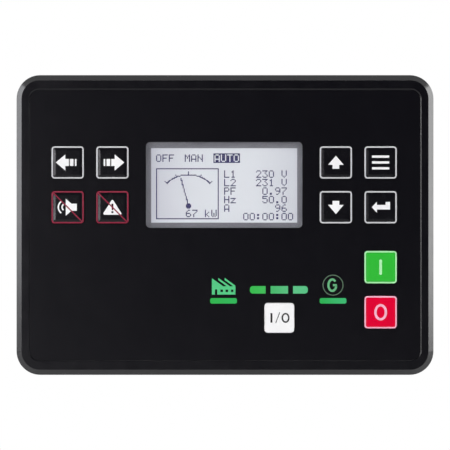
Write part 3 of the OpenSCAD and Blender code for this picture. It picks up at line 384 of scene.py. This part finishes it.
def finish_key(name, cap, line, sign, low=None):
    """Colours a key's cap, its raised line and its signs, face by face."""
    mesh = nodes[name].data
    mesh.materials.clear()
    for material in (cap, line, sign, low or sign):
        mesh.materials.append(material)
    top = min(v.co.y for v in mesh.vertices)
    framed = name != "key_breaker"
    field = top + KEY_RELIEF
    foot = field + FIELD_RISE if framed else field
    low_top = top + KEY_RELIEF * (1 - LOW_RELIEF_SHARE)
    front = [v.co for v in mesh.vertices if v.co.y < foot + SAME_HEIGHT]
    sides = [[min(p[axis] for p in front), max(p[axis] for p in front)] for axis in (0, 2)]
    straight = (sides[0][1] - sides[0][0]) / 2 - KEY_LINE - LINE_INNER_R
    for face in mesh.polygons:
        highest = min(mesh.vertices[i].co.y for i in face.vertices)
        reach = [abs(face.center[axis] - sum(side) / 2) - straight for axis, side in zip((0, 2), sides)]
        if min(reach) > 0:
            beyond = math.hypot(*reach) - LINE_INNER_R
        else:
            beyond = max(reach) - LINE_INNER_R
        if framed and beyond > -SAME_HEIGHT:
            face.material_index = LINE if highest < foot - SAME_HEIGHT else CAP
        elif highest > field - SAME_HEIGHT:
            face.material_index = CAP
        elif low and abs(highest - low_top) < SAME_HEIGHT:
            face.material_index = LOW_SIGN
        else:
            face.material_index = SIGN


for key_name, finishes in KEY_FINISH.items():
    finish_key(key_name, *finishes)

NODE_FINISH = {
    "bezel": bezel_black, "front_foil": foil_black, "display_window": pane, "display_frame": frame_grey,
    "display_glass": display_cell, "display_backlight": diffuser, "display_board": board_green,
    "dome_mat": silicone, "keypad_board": board_green, "indicator_leds": diffuser, "keypad_screws": steel,
    "main_board": board_green, "main_board_screws": steel, "link_socket": inner_black,
    "link_header": inner_black, "terminal_headers": terminal_green, "terminal_pins": tinned,
    "terminal_screws": steel, "current_terminal": terminal_green, "plug_upper_long": terminal_green,
    "plug_upper_short": terminal_green, "plug_lower_left": terminal_green,
    "plug_lower_right": terminal_green, "usb_socket": steel, "backup_cell": steel,
    "cell_holder": inner_black, "relays": relay_blue, "capacitors": capacitor_sleeve,
    "processor": inner_black, "choke": winding, "rear_housing": housing_black,
    "module_cover": housing_black, "gasket": gasket_foam, "housing_screws": steel,
    "clamp_brackets": clamp_black,
}
for number in range(1, 5):
    NODE_FINISH[f"clamp_foot_{number}"] = clamp_black
    NODE_FINISH[f"clamp_screw_{number}"] = steel
# Lit windows: the tones of their left and right sides
LAMP_TONES = {
    "load_lamp": ((0.024, 0.46, 0.07), (0.026, 0.48, 0.105)),
    "generator_lamp": ((0.022, 0.44, 0.085), (0.044, 0.5, 0.17)),
    "line_lamp_left": ((0.033, 0.5, 0.07), (0.05, 0.51, 0.1)),
    "line_lamp_middle": ((0.062, 0.49, 0.15), (0.105, 0.54, 0.23)),
    "line_lamp_right": ((0.115, 0.56, 0.25), (0.095, 0.54, 0.23)),
}
for lamp_name, tones in LAMP_TONES.items():
    NODE_FINISH[lamp_name] = lit(lamp_name + "_light", *tones, strength=0.66)
for node_name, node_material in NODE_FINISH.items():
    only_material(nodes[node_name].data, node_material)
for part in nodes.values():
    smooth(part.data, sharp_degrees=25)


# Drawn pieces

def flat_piece(name, outlines, front_y, thickness, material):
    """Thin solid from closed outlines in the front's plane; an outline inside another is a hole."""
    curve = bpy.data.curves.new(name, "CURVE")
    curve.dimensions = "2D"
    curve.fill_mode = "BOTH"
    curve.extrude = thickness / 2
    for outline in outlines:
        spline = curve.splines.new("POLY")
        spline.points.add(len(outline) - 1)
        for point, (x, z) in zip(spline.points, outline):
            point.co = (x, z, 0, 1)
        spline.use_cyclic_u = True
    drawn = add_object(name + "_curve", curve)
    mesh = evaluated_mesh(drawn)
    bpy.data.objects.remove(drawn)
    bpy.data.curves.remove(curve)
    upright = Matrix.Rotation(math.pi / 2, 4, "X")
    mesh.transform(Matrix.Translation((0, front_y + thickness / 2, 0)) @ upright)
    mesh.name = name
    add_print(name, mesh, material)


def circle_points(cx, cz, r, count=48):
    """Points round a circle."""
    return [(cx + r * math.cos(2 * math.pi * i / count), cz + r * math.sin(2 * math.pi * i / count))
            for i in range(count)]


def box_points(x0, z0, x1, z1):
    """Corners of an upright rectangle."""
    return [(x0, z0), (x1, z0), (x1, z1), (x0, z1)]


def stroke_points(path, width):
    """Outline of an open path drawn with a line of the given width."""
    left, right = [], []
    for i, point in enumerate(path):
        before = Vector(path[max(i - 1, 0)])
        after = Vector(path[min(i + 1, len(path) - 1)])
        along = (after - before).normalized()
        side = Vector((-along.y, along.x)) * width / 2
        left.append(tuple(Vector(point) + side))
        right.append(tuple(Vector(point) - side))
    return left + right[::-1]


def drawn_boxes(name, boxes, front_y, thickness, material):
    """One mesh of thin upright boxes, each given by its corners in the front's plane."""
    mesh = bmesh.new()
    for corners in boxes:
        ring = box_points(*corners)
        front = [mesh.verts.new((x, front_y, z)) for x, z in ring]
        back = [mesh.verts.new((x, front_y + thickness, z)) for x, z in ring]
        mesh.faces.new(front)
        mesh.faces.new(back[::-1])
        for i in range(4):
            j = (i + 1) % 4
            mesh.faces.new((front[j], front[i], back[i], back[j]))
    add_print(name, finished_mesh(name, mesh), material)


# Display content, as dots on the display's raster

LETTERS = {
    "A": ".###. #...# #...# #...# ##### #...# #...#",
    "F": "##### #.... #.... ####. #.... #.... #....",
    "H": "#...# #...# #...# ##### #...# #...# #...#",
    "L": "#.... #.... #.... #.... #.... #.... #####",
    "M": "#...# ##.## #.#.# #.#.# #...# #...# #...#",
    "N": "#...# #...# ##..# #.#.# #..## #...# #...#",
    "O": ".###. #...# #...# #...# #...# #...# .###.",
    "P": "####. #...# #...# ####. #.... #.... #....",
    "T": "##### ..#.. ..#.. ..#.. ..#.. ..#.. ..#..",
    "U": "#...# #...# #...# #...# #...# #...# .###.",
    "V": "#...# #...# #...# #...# #...# .#.#. ..#..",
    "W": "#...# #...# #...# #.#.# #.#.# #.#.# .#.#.",
    "k": "#.... #.... #..#. #.#.. ##... #.#.. #..#.",
    "z": "..... ..... ##### ...#. ..#.. .#... #####",
    "0": ".###. #...# #...# #...# #...# #...# .###.",
    "1": "..#.. .##.. ..#.. ..#.. ..#.. ..#.. .###.",
    "2": ".###. #...# ....# ...#. ..#.. .#... #####",
    "3": "##### ...#. ..#.. ...#. ....# #...# .###.",
    "5": "##### #.... ####. ....# ....# #...# .###.",
    "6": "..##. .#... #.... ####. #...# #...# .###.",
    "7": "##### ....# ...#. ..#.. .#... .#... .#...",
    "9": ".###. #...# #...# .#### ....# ...#. .##..",
    ".": "..... ..... ..... ..... ..... .##.. .##..",
    ":": "..... .##.. .##.. ..... .##.. .##.. .....",
    " ": "..... ..... ..... ..... ..... ..... .....",
}
# Dots from one letter to the next, and of the gap between them
LETTER_STEP, LETTER_GAP = 6, 1


def text_dots(text, column, row):
    """Dots of a line of text whose upper left dot is at a column and a row."""
    dots = set()
    for place, letter in enumerate(text):
        for down, line in enumerate(LETTERS[letter].split()):
            for right, mark in enumerate(line):
                if mark == "#":
                    dots.add((column + place * LETTER_STEP + right, row + down))
    return dots


def right_text_dots(text, last_column, row):
    """Dots of a line of text that ends at a column."""
    return text_dots(text, last_column + 1 + LETTER_GAP - LETTER_STEP * len(text), row)


def line_dots(x0, y0, x1, y1):
    """Dots along a straight line."""
    steps = max(1, round(2 * max(abs(x1 - x0), abs(y1 - y0))))
    shares = [i / steps for i in range(steps + 1)]
    return {(round(x0 + (x1 - x0) * share), round(y0 + (y1 - y0) * share)) for share in shares}


def box_dots(x0, y0, x1, y1):
    """Dots of a rectangle's outline."""
    return (line_dots(x0, y0, x1, y0) | line_dots(x0, y1, x1, y1)
            | line_dots(x0, y0, x0, y1) | line_dots(x1, y0, x1, y1))


def arc_dots(cx, cy, r, half_angle):
    """Dots of an arc about the upright."""
    steps = 4 * round(r)
    angles = [math.radians(half_angle * (2 * i / steps - 1)) for i in range(steps + 1)]
    return {(round(cx + r * math.sin(a)), round(cy - r * math.cos(a))) for a in angles}


def gauge_dots():
    """Dots of the gauge: its box, arc, ticks, needle, hub and reading."""
    left, top, right, bottom = 2, 15, 60, 62
    hub = (32, 50)
    arc_r, half_angle, tick, hub_r = 29.5, 44, 2, 2.6
    needle_tip = (25, 24)
    dots = box_dots(left, top, right, bottom) | arc_dots(*hub, arc_r, half_angle)
    for share in (-1, -0.5, 0, 0.5, 1):
        a = math.radians(share * half_angle)
        inner, outer = ((hub[0] + r * math.sin(a), hub[1] - r * math.cos(a)) for r in (arc_r, arc_r + tick))
        dots |= line_dots(*inner, *outer)
    dots |= line_dots(*hub, *needle_tip)
    reach = range(-math.ceil(hub_r), math.ceil(hub_r) + 1)
    dots |= {(hub[0] + i, hub[1] + j) for i in reach for j in reach if math.hypot(i, j) <= hub_r}
    return dots | text_dots("67", 30, 54) | text_dots("kW", 48, 54)


# Places below are in dots from the display's upper left
MODE_ROW = 2
MODES = (("OFF", 2), ("MAN", 29))
CHOSEN_MODE = "AUTO"
CHOSEN_BOX = (56, 1, 80, 9)
VALUE_LINES = (
    ("L1", "230 V"), ("L2", "231 V"), ("PF", "0.97"), ("Hz", "50.0"), ("A", "96"), ("", "00:00:00"),
)
VALUE_COLUMN = 66
VALUE_END = 124
CLOCK_END = 130
VALUE_FIRST_ROW = 17
VALUE_ROW_STEP = 8

dots = gauge_dots()
for text, column in MODES:
    dots |= text_dots(text, column, MODE_ROW)
x0, y0, x1, y1 = CHOSEN_BOX
dark_box = {(i, j) for i in range(x0, x1 + 1) for j in range(y0, y1 + 1)}
dots |= dark_box - text_dots(CHOSEN_MODE, x0 + 1, MODE_ROW)
for index, (label, value) in enumerate(VALUE_LINES):
    row = VALUE_FIRST_ROW + index * VALUE_ROW_STEP
    end = VALUE_END if label else CLOCK_END
    dots |= text_dots(label, VALUE_COLUMN, row) | right_text_dots(value, end, row)
dot_side = DOT_PITCH * (1 - DOT_GAP_SHARE)
dot_boxes = []
for column, row in sorted(dots):
    x = DOT_LEFT + column * DOT_PITCH
    z = DOT_TOP - row * DOT_PITCH
    dot_boxes.append((x, z - dot_side, x + dot_side, z))
drawn_boxes("display_dots", dot_boxes, GLASS_Y - PRINT_T, PRINT_T, ink)

# Printed signs

print_green = moulded("print_green", (0.075, 0.55, 0.21), grain=3000, bump=0.03, edge=0)
print_mint = moulded("print_mint", (0.12, 0.42, 0.19), grain=3000, bump=0.03, edge=0)
print_dull = moulded("print_dull", (0.09, 0.16, 0.1), grain=3000, bump=0.03, edge=0)
PRINT_Y = FOIL_Y - PRINT_T

# Factory with three slanted roofs, a door and windows, over the left bar; its points are in mm
# from its lower left
FACTORY_X, FACTORY_Z = -5.8 * MM, -30.8 * MM
FACTORY_OUTLINE = (
    (0, 0), (1.36, 0), (1.36, 2.3), (2.34, 2.3), (2.34, 0), (10.4, 0), (10.4, 3.95), (5.67, 7.4),
    (5.67, 6.4), (9.45, 3.7), (7.95, 3.7), (2.83, 7.4), (2.83, 6.4), (6.6, 3.7), (4.95, 3.7), (0, 7.25),
)
FACTORY_WINDOWS = ((3.75, 1.15, 4.9, 2.2), (6.05, 1.15, 7.15, 2.2), (8.45, 1.15, 9.45, 2.2))


def factory_outlines():
    """Outline of the factory, with its windows as holes."""
    outlines = [FACTORY_OUTLINE] + [box_points(*window) for window in FACTORY_WINDOWS]
    return [[(FACTORY_X + x * MM, FACTORY_Z + z * MM) for x, z in outline] for outline in outlines]


flat_piece("factory_sign", factory_outlines(), PRINT_Y, PRINT_T, print_green)

# Letter G in a ring, over the right bar
RING_X, RING_Z = 47.8 * MM, -26.62 * MM
RING_R, RING_LINE = 4.63 * MM, 0.4 * MM
G_X, G_W, G_H, G_LINE = 47.5 * MM, 4.4 * MM, 6.05 * MM, 1.0 * MM
# The letter's arc, in degrees from +X, and how far its bar and its stem's foot lie from its middle
G_START, G_STEP, G_POINTS = 40, 6.4, 50
G_BAR_SHARE, G_FOOT_SHARE = 0.15, 0.3
flat_piece(
    "generator_ring",
    [circle_points(RING_X, RING_Z, RING_R), circle_points(RING_X, RING_Z, RING_R - RING_LINE)],
    PRINT_Y, PRINT_T, print_dull,
)


def letter_g():
    """Outline of the letter G."""
    half_w = (G_W - G_LINE) / 2
    half_h = (G_H - G_LINE) / 2
    angles = [math.radians(G_START + G_STEP * i) for i in range(G_POINTS)]
    arc = [(G_X + half_w * math.cos(a), RING_Z + half_h * math.sin(a)) for a in angles]
    stem_x = G_X + half_w
    stem = [(stem_x, RING_Z - G_FOOT_SHARE * half_h), (stem_x, RING_Z)]
    return stroke_points(arc + stem + [(G_X + G_BAR_SHARE * half_w, RING_Z)], G_LINE)


flat_piece("generator_letter", [letter_g()], PRINT_Y, PRINT_T, print_mint)

# Terminal numbers on the housing's deck and a rating plate on its back, all to be read from behind

print_white = moulded("print_white", (0.62, 0.62, 0.64), roughness=0.5, grain=3000, bump=0.03, edge=0)
plate_silver = moulded("plate_silver", (0.42, 0.43, 0.45), roughness=0.35, grain=900, bump=0.06, edge=0)
print_black = moulded("print_black", (0.02, 0.02, 0.022), roughness=0.5, grain=3000, bump=0.02, edge=0)
# The deck that the terminals stand on, the housing's back, the step from pole to pole, and the
# share of a font's size that its capitals are high
DECK_Y = 24 * MM
BACK_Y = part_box("rear_housing")[1].y
POLE_PITCH = 5.08 * MM
CAPITAL_SHARE = 0.7
MERGE_REACH = 1e-7


def rear_print(name, words, front_y, material):
    """One thin solid of printed words that face the back; each word is its text, middle and height."""
    mesh = bmesh.new()
    for word, x, z, height in words:
        font = bpy.data.curves.new(name, "FONT")
        font.body = word
        font.align_x, font.align_y = "CENTER", "CENTER"
        font.size = height / CAPITAL_SHARE
        font.extrude = PRINT_T / 2
        font.resolution_u = 3
        drawn = add_object(name + "_word", font)
        solid = evaluated_mesh(drawn)
        bpy.data.objects.remove(drawn)
        middle = front_y + PRINT_T / 2
        solid.transform(Matrix(((-1, 0, 0, x), (0, 0, 1, middle), (0, 1, 0, z), (0, 0, 0, 1))))
        mesh.from_mesh(solid)
        bpy.data.meshes.remove(solid)
    bmesh.ops.remove_doubles(mesh, verts=mesh.verts, dist=MERGE_REACH)
    add_print(name, finished_mesh(name, mesh), material)


def pole_places(node):
    """Middle of each pole along a terminal, from the right seen from the front."""
    low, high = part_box(node)
    count = round((high.x - low.x) / POLE_PITCH)
    return [(low.x + high.x) / 2 + ((count - 1) / 2 - i) * POLE_PITCH for i in range(count)]


# Height of the terminal numbers, and how far they stand off their terminal
NUMBER_H, NUMBER_OFF = 1.7 * MM, 1.9 * MM
UPPER_TERMINALS = ("current_terminal", "plug_upper_long", "plug_upper_short")
LOWER_TERMINALS = ("plug_lower_left", "plug_lower_right")
numbers = []
for row in (UPPER_TERMINALS, LOWER_TERMINALS):
    above = row is UPPER_TERMINALS
    for node in sorted(row, key=lambda n: -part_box(n)[0].x):
        low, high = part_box(node)
        z = high.z + NUMBER_OFF if above else low.z - NUMBER_OFF
        numbers += [(str(len(numbers) + i + 1), x, z, NUMBER_H) for i, x in enumerate(pole_places(node))]
rear_print("terminal_numbers", numbers, DECK_Y, print_white)

# Rating plate: its middle, size, corners and thickness, and the height, step and first row of its words
PLATE_X, PLATE_Z = -60.5 * MM, 0
PLATE_W, PLATE_H, PLATE_R = 20 * MM, 34 * MM, 1.5 * MM
PLATE_T = 0.1 * MM
RATINGS = ("8-36 V DC", "0-277 V AC", "5 A", "50/60 Hz", "-20 +70 C", "IP65")
RATING_H, RATING_STEP, RATING_TOP = 1.7 * MM, 4.4 * MM, 11 * MM


def rounded_points(cx, cz, w, h, r, count=6):
    """Points round a rectangle with round corners."""
    points = []
    for quarter, (sx, sz) in enumerate(((1, 1), (-1, 1), (-1, -1), (1, -1))):
        corner_x, corner_z = cx + sx * (w / 2 - r), cz + sz * (h / 2 - r)
        for i in range(count + 1):
            a = math.pi / 2 * (quarter + i / count)
            points.append((corner_x + r * math.cos(a), corner_z + r * math.sin(a)))
    return points


flat_piece(
    "rating_plate", [rounded_points(PLATE_X, PLATE_Z, PLATE_W, PLATE_H, PLATE_R)],
    BACK_Y, PLATE_T, plate_silver,
)
rear_print(
    "rating_print",
    [(word, PLATE_X, PLATE_Z + RATING_TOP - i * RATING_STEP, RATING_H) for i, word in enumerate(RATINGS)],
    BACK_Y + PLATE_T, print_black,
)

# Dome mat in the place of the rigid one: its sheet, and a dome under each key as a piece of its own

# The sheet's thickness, half the width of the box that a dome is cut out with, the gap between
# dome and sheet, and how far a box runs past
MAT_T = 0.8 * MM
DOME_REACH = 6 * MM
CUT_GAP = 0.005 * MM
OVER = 1 * MM
mat_low, mat_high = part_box("dome_mat")
mat_front_y = mat_high.y - MAT_T


def cut_with_box(piece, kind, low, high):
    """Takes a box out of a piece, or keeps what lies in the box."""
    cube = bmesh.new()
    bmesh.ops.create_cube(cube, size=1)
    cutter = add_object("cutter", finished_mesh("cutter", cube))
    cutter.location = (Vector(low) + Vector(high)) / 2
    cutter.scale = Vector(high) - Vector(low)
    cut = piece.modifiers.new("cut", "BOOLEAN")
    cut.operation = kind
    cut.object = cutter
    shaped = evaluated_mesh(piece)
    piece.modifiers.clear()
    piece.data = shaped
    bpy.data.objects.remove(cutter)


def mat_piece(name, low, high):
    """The part of the dome mat that lies in a box."""
    piece = add_object(name, nodes["dome_mat"].data.copy())
    cut_with_box(piece, "INTERSECT", low, high)
    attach(piece, "case")
    return piece


sheet_low = (mat_low.x - OVER, mat_front_y - CUT_GAP, mat_low.z - OVER)
sheet_high = (mat_high.x + OVER, mat_high.y + OVER, mat_high.z + OVER)
mat_sheet = mat_piece("mat_sheet", sheet_low, sheet_high)
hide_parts("dome_mat")
for key_name in KEY_FINISH:
    low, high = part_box(key_name)
    middle = (low + high) / 2
    dome = mat_piece(
        "dome_of_" + key_name,
        (middle.x - DOME_REACH, mat_low.y - OVER, middle.z - DOME_REACH),
        (middle.x + DOME_REACH, mat_front_y - 2 * CUT_GAP, middle.z + DOME_REACH),
    )
    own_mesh(dome)

# Clamp screws with their threads, in the place of the plain ones

# Thread: its pitch, depth, steps a turn and sides, and how far its root and its crest reach, as
# shares of half the pitch from the root's middle
THREAD_PITCH, THREAD_DEPTH, THREAD_STEPS, THREAD_SIDES = 0.7 * MM, 0.36 * MM, 8, 32
ROOT_SHARE, CREST_SHARE = 0.25, 2 / 3
# Shank, head and slot, the plain neck under the head, the tapered tip, and the head's bevel
SHANK_R, HEAD_R, HEAD_T = 2.0 * MM, 3.75 * MM, 2.6 * MM
SLOT_W, SLOT_D = 1.2 * MM, 1.4 * MM
NECK, TIP, HEAD_EDGE = 1.0 * MM, 0.5 * MM, 0.3 * MM


def thread_radius(y, angle, tip_y, neck_y):
    """Radius of the thread at a place along the shank; it runs out at the tip and the neck."""
    phase = (y / THREAD_PITCH - angle / (2 * math.pi)) % 1
    ridge = (abs(2 * phase - 1) - ROOT_SHARE) / (CREST_SHARE - ROOT_SHARE)
    ridge = max(0.0, min(1.0, ridge))
    full = min(1.0, (y - tip_y) / TIP)
    depth = THREAD_DEPTH * (1 - ridge) if y < neck_y else 0.0
    return SHANK_R - depth - THREAD_DEPTH * (1 - full) * ridge


def threaded_screw(name, node, body):
    """Slotted screw with a threaded shank, turned about the node's own axis."""
    low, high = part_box(node)
    cx, cz = (low.x + high.x) / 2, (low.z + high.z) / 2
    head_y = high.y - HEAD_T
    angles = [2 * math.pi * i / THREAD_SIDES for i in range(THREAD_SIDES)]
    step = THREAD_PITCH / THREAD_STEPS
    shank = [low.y + i * step for i in range(int((head_y - low.y) / step))] + [head_y]
    profile = [([thread_radius(y, a, low.y, head_y - NECK) for a in angles], y) for y in shank]
    for r, y in ((HEAD_R, head_y), (HEAD_R, high.y - HEAD_EDGE), (HEAD_R - HEAD_EDGE, high.y)):
        profile.append(([r] * THREAD_SIDES, y))
    mesh = bmesh.new()
    rings = []
    for radii, y in profile:
        places = [(cx + r * math.cos(a), y, cz + r * math.sin(a)) for r, a in zip(radii, angles)]
        rings.append([mesh.verts.new(place) for place in places])
    for first, second in zip(rings, rings[1:]):
        for i in range(THREAD_SIDES):
            j = (i + 1) % THREAD_SIDES
            mesh.faces.new((first[i], first[j], second[j], second[i]))
    mesh.faces.new(rings[0][::-1])
    mesh.faces.new(rings[-1])
    bmesh.ops.recalc_face_normals(mesh, faces=mesh.faces)
    data = finished_mesh(name, mesh)
    only_material(data, steel)
    piece = add_object(name, data)
    slot_low = (cx - 2 * HEAD_R, high.y - SLOT_D, cz - SLOT_W / 2)
    slot_high = (cx + 2 * HEAD_R, high.y + SLOT_D, cz + SLOT_W / 2)
    cut_with_box(piece, "DIFFERENCE", slot_low, slot_high)
    smooth(piece.data, sharp_degrees=50)
    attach(piece, body)
    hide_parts(node)


for number in range(1, 5):
    threaded_screw(f"threaded_screw_{number}", f"clamp_screw_{number}", f"screw_{number}")

# Floor, world, lamps and camera

# Floor: its height and radius, and how far the part's shadow shows in full and where it has faded
FLOOR_Z = -200 * MM
FLOOR_R = 1.2
SHADOW_R = 0.15
WHITE_R = 0.7


def floor_material(near_level, reflected_level):
    """Pale floor with the part's shadow, whiter to the camera further out and dim in reflections."""
    material, tree, output = new_material("floor_white")
    surface = add_node(tree, "ShaderNodeBsdfDiffuse", Color=(0.8, 0.8, 0.8, 1))
    glow = add_node(tree, "ShaderNodeEmission", Color=(1, 1, 1, 1))
    rays = add_node(tree, "ShaderNodeLightPath").outputs
    from_middle = add_node(tree, "ShaderNodeVectorMath", operation="LENGTH")
    tree.links.new(object_position(tree), from_middle.inputs[0])
    level = spread(tree, from_middle.outputs["Value"], near_level, 1, start=SHADOW_R, end=WHITE_R)
    seen = math_node(tree, "MULTIPLY", rays["Is Camera Ray"], level)
    through = math_node(tree, "MULTIPLY", rays["Is Transmission Ray"], near_level)
    reflected = math_node(tree, "MULTIPLY", rays["Is Glossy Ray"], reflected_level)
    brightest = math_node(tree, "MAXIMUM", math_node(tree, "MAXIMUM", seen, through), reflected)
    tree.links.new(brightest, glow.inputs["Strength"])
    both = add_node(tree, "ShaderNodeAddShader")
    tree.links.new(surface.outputs[0], both.inputs[0])
    tree.links.new(glow.outputs[0], both.inputs[1])
    tree.links.new(both.outputs[0], output.inputs["Surface"])
    return material


floor_mesh = bmesh.new()
bmesh.ops.create_circle(floor_mesh, cap_ends=True, segments=96, radius=FLOOR_R)
floor = add_object("floor", finished_mesh("floor", floor_mesh))
floor.location.z = FLOOR_Z
floor.data.materials.append(floor_material(near_level=0.3, reflected_level=0.02))


# Directions whose Y is below this one are the dim ones, in front of the part
DIM_TO_Y = -0.3


def make_world(front_level, behind_level):
    """White to the camera and through glass; what the part gets is dim in front and bright behind."""
    world = bpy.data.worlds.new("studio")
    bpy.context.scene.world = world
    world.use_nodes = True
    tree = world.node_tree
    tree.nodes.clear()
    output = tree.nodes.new("ShaderNodeOutputWorld")
    rays = add_node(tree, "ShaderNodeLightPath").outputs
    direction = add_node(tree, "ShaderNodeSeparateXYZ")
    tree.links.new(add_node(tree, "ShaderNodeTexCoord").outputs["Generated"], direction.inputs["Vector"])
    behind = spread(tree, direction.outputs["Y"], 0, 1, start=DIM_TO_Y, end=1)
    studio = spread(tree, behind, front_level, behind_level, start=0, end=1)
    seen = math_node(tree, "MAXIMUM", rays["Is Camera Ray"], rays["Is Transmission Ray"])
    reflected = math_node(tree, "MULTIPLY", rays["Is Glossy Ray"], behind)
    white = math_node(tree, "MAXIMUM", seen, reflected)
    background = add_node(tree, "ShaderNodeBackground", Color=(1, 1, 1, 1))
    tree.links.new(math_node(tree, "MAXIMUM", white, studio), background.inputs["Strength"])
    tree.links.new(background.outputs[0], output.inputs["Surface"])


make_world(front_level=0.035, behind_level=0.7)


def add_lamp(name, place, size, power, colour=(1, 1, 1)):
    """Soft square lamp aimed at the part; place and size in metres, power in watts."""
    data = bpy.data.lights.new(name, "AREA")
    data.shape = "SQUARE"
    data.size = size
    data.energy = power
    data.color = colour
    lamp = add_object(name, data)
    lamp.location = place
    lamp.rotation_euler = (-Vector(place)).to_track_quat("-Z", "Y").to_euler()


add_lamp("front_left", (-1.04, -0.98, 0.15), 0.5, 7.4)
add_lamp("front_right", (1.15, -0.85, 0.35), 0.5, 6.4)
add_lamp("front_top", (0, -0.65, 1.25), 0.5, 7.4)
add_lamp("left_glow", (-0.56, -1.42, 0), 0.2, 3.2, (0.97, 0.95, 1.0))
add_lamp("left_side", (-1.0, 0.5, 0.3), 0.7, 4.2, (0.95, 0.96, 1.0))
add_lamp("right_side", (1.0, 0.5, 0.26), 0.7, 6.0)

# The camera looks along +Y from straight in front, and takes in FRAME_W at FRAMED_Y
CAMERA_DISTANCE = 1.5
FRAMED_Y = -8 * MM
FRAME_W = 199.69 * MM
SENSOR_W = 36
camera_data = bpy.data.cameras.new("camera")
camera_data.sensor_width = SENSOR_W
camera_data.lens = SENSOR_W * CAMERA_DISTANCE / FRAME_W
camera = add_object("camera", camera_data)
camera.location = (0, FRAMED_Y - CAMERA_DISTANCE, 0)
camera.rotation_euler = (math.pi / 2, 0, 0)
bpy.context.scene.camera = camera
bpy.context.scene.view_settings.view_transform = "Standard"
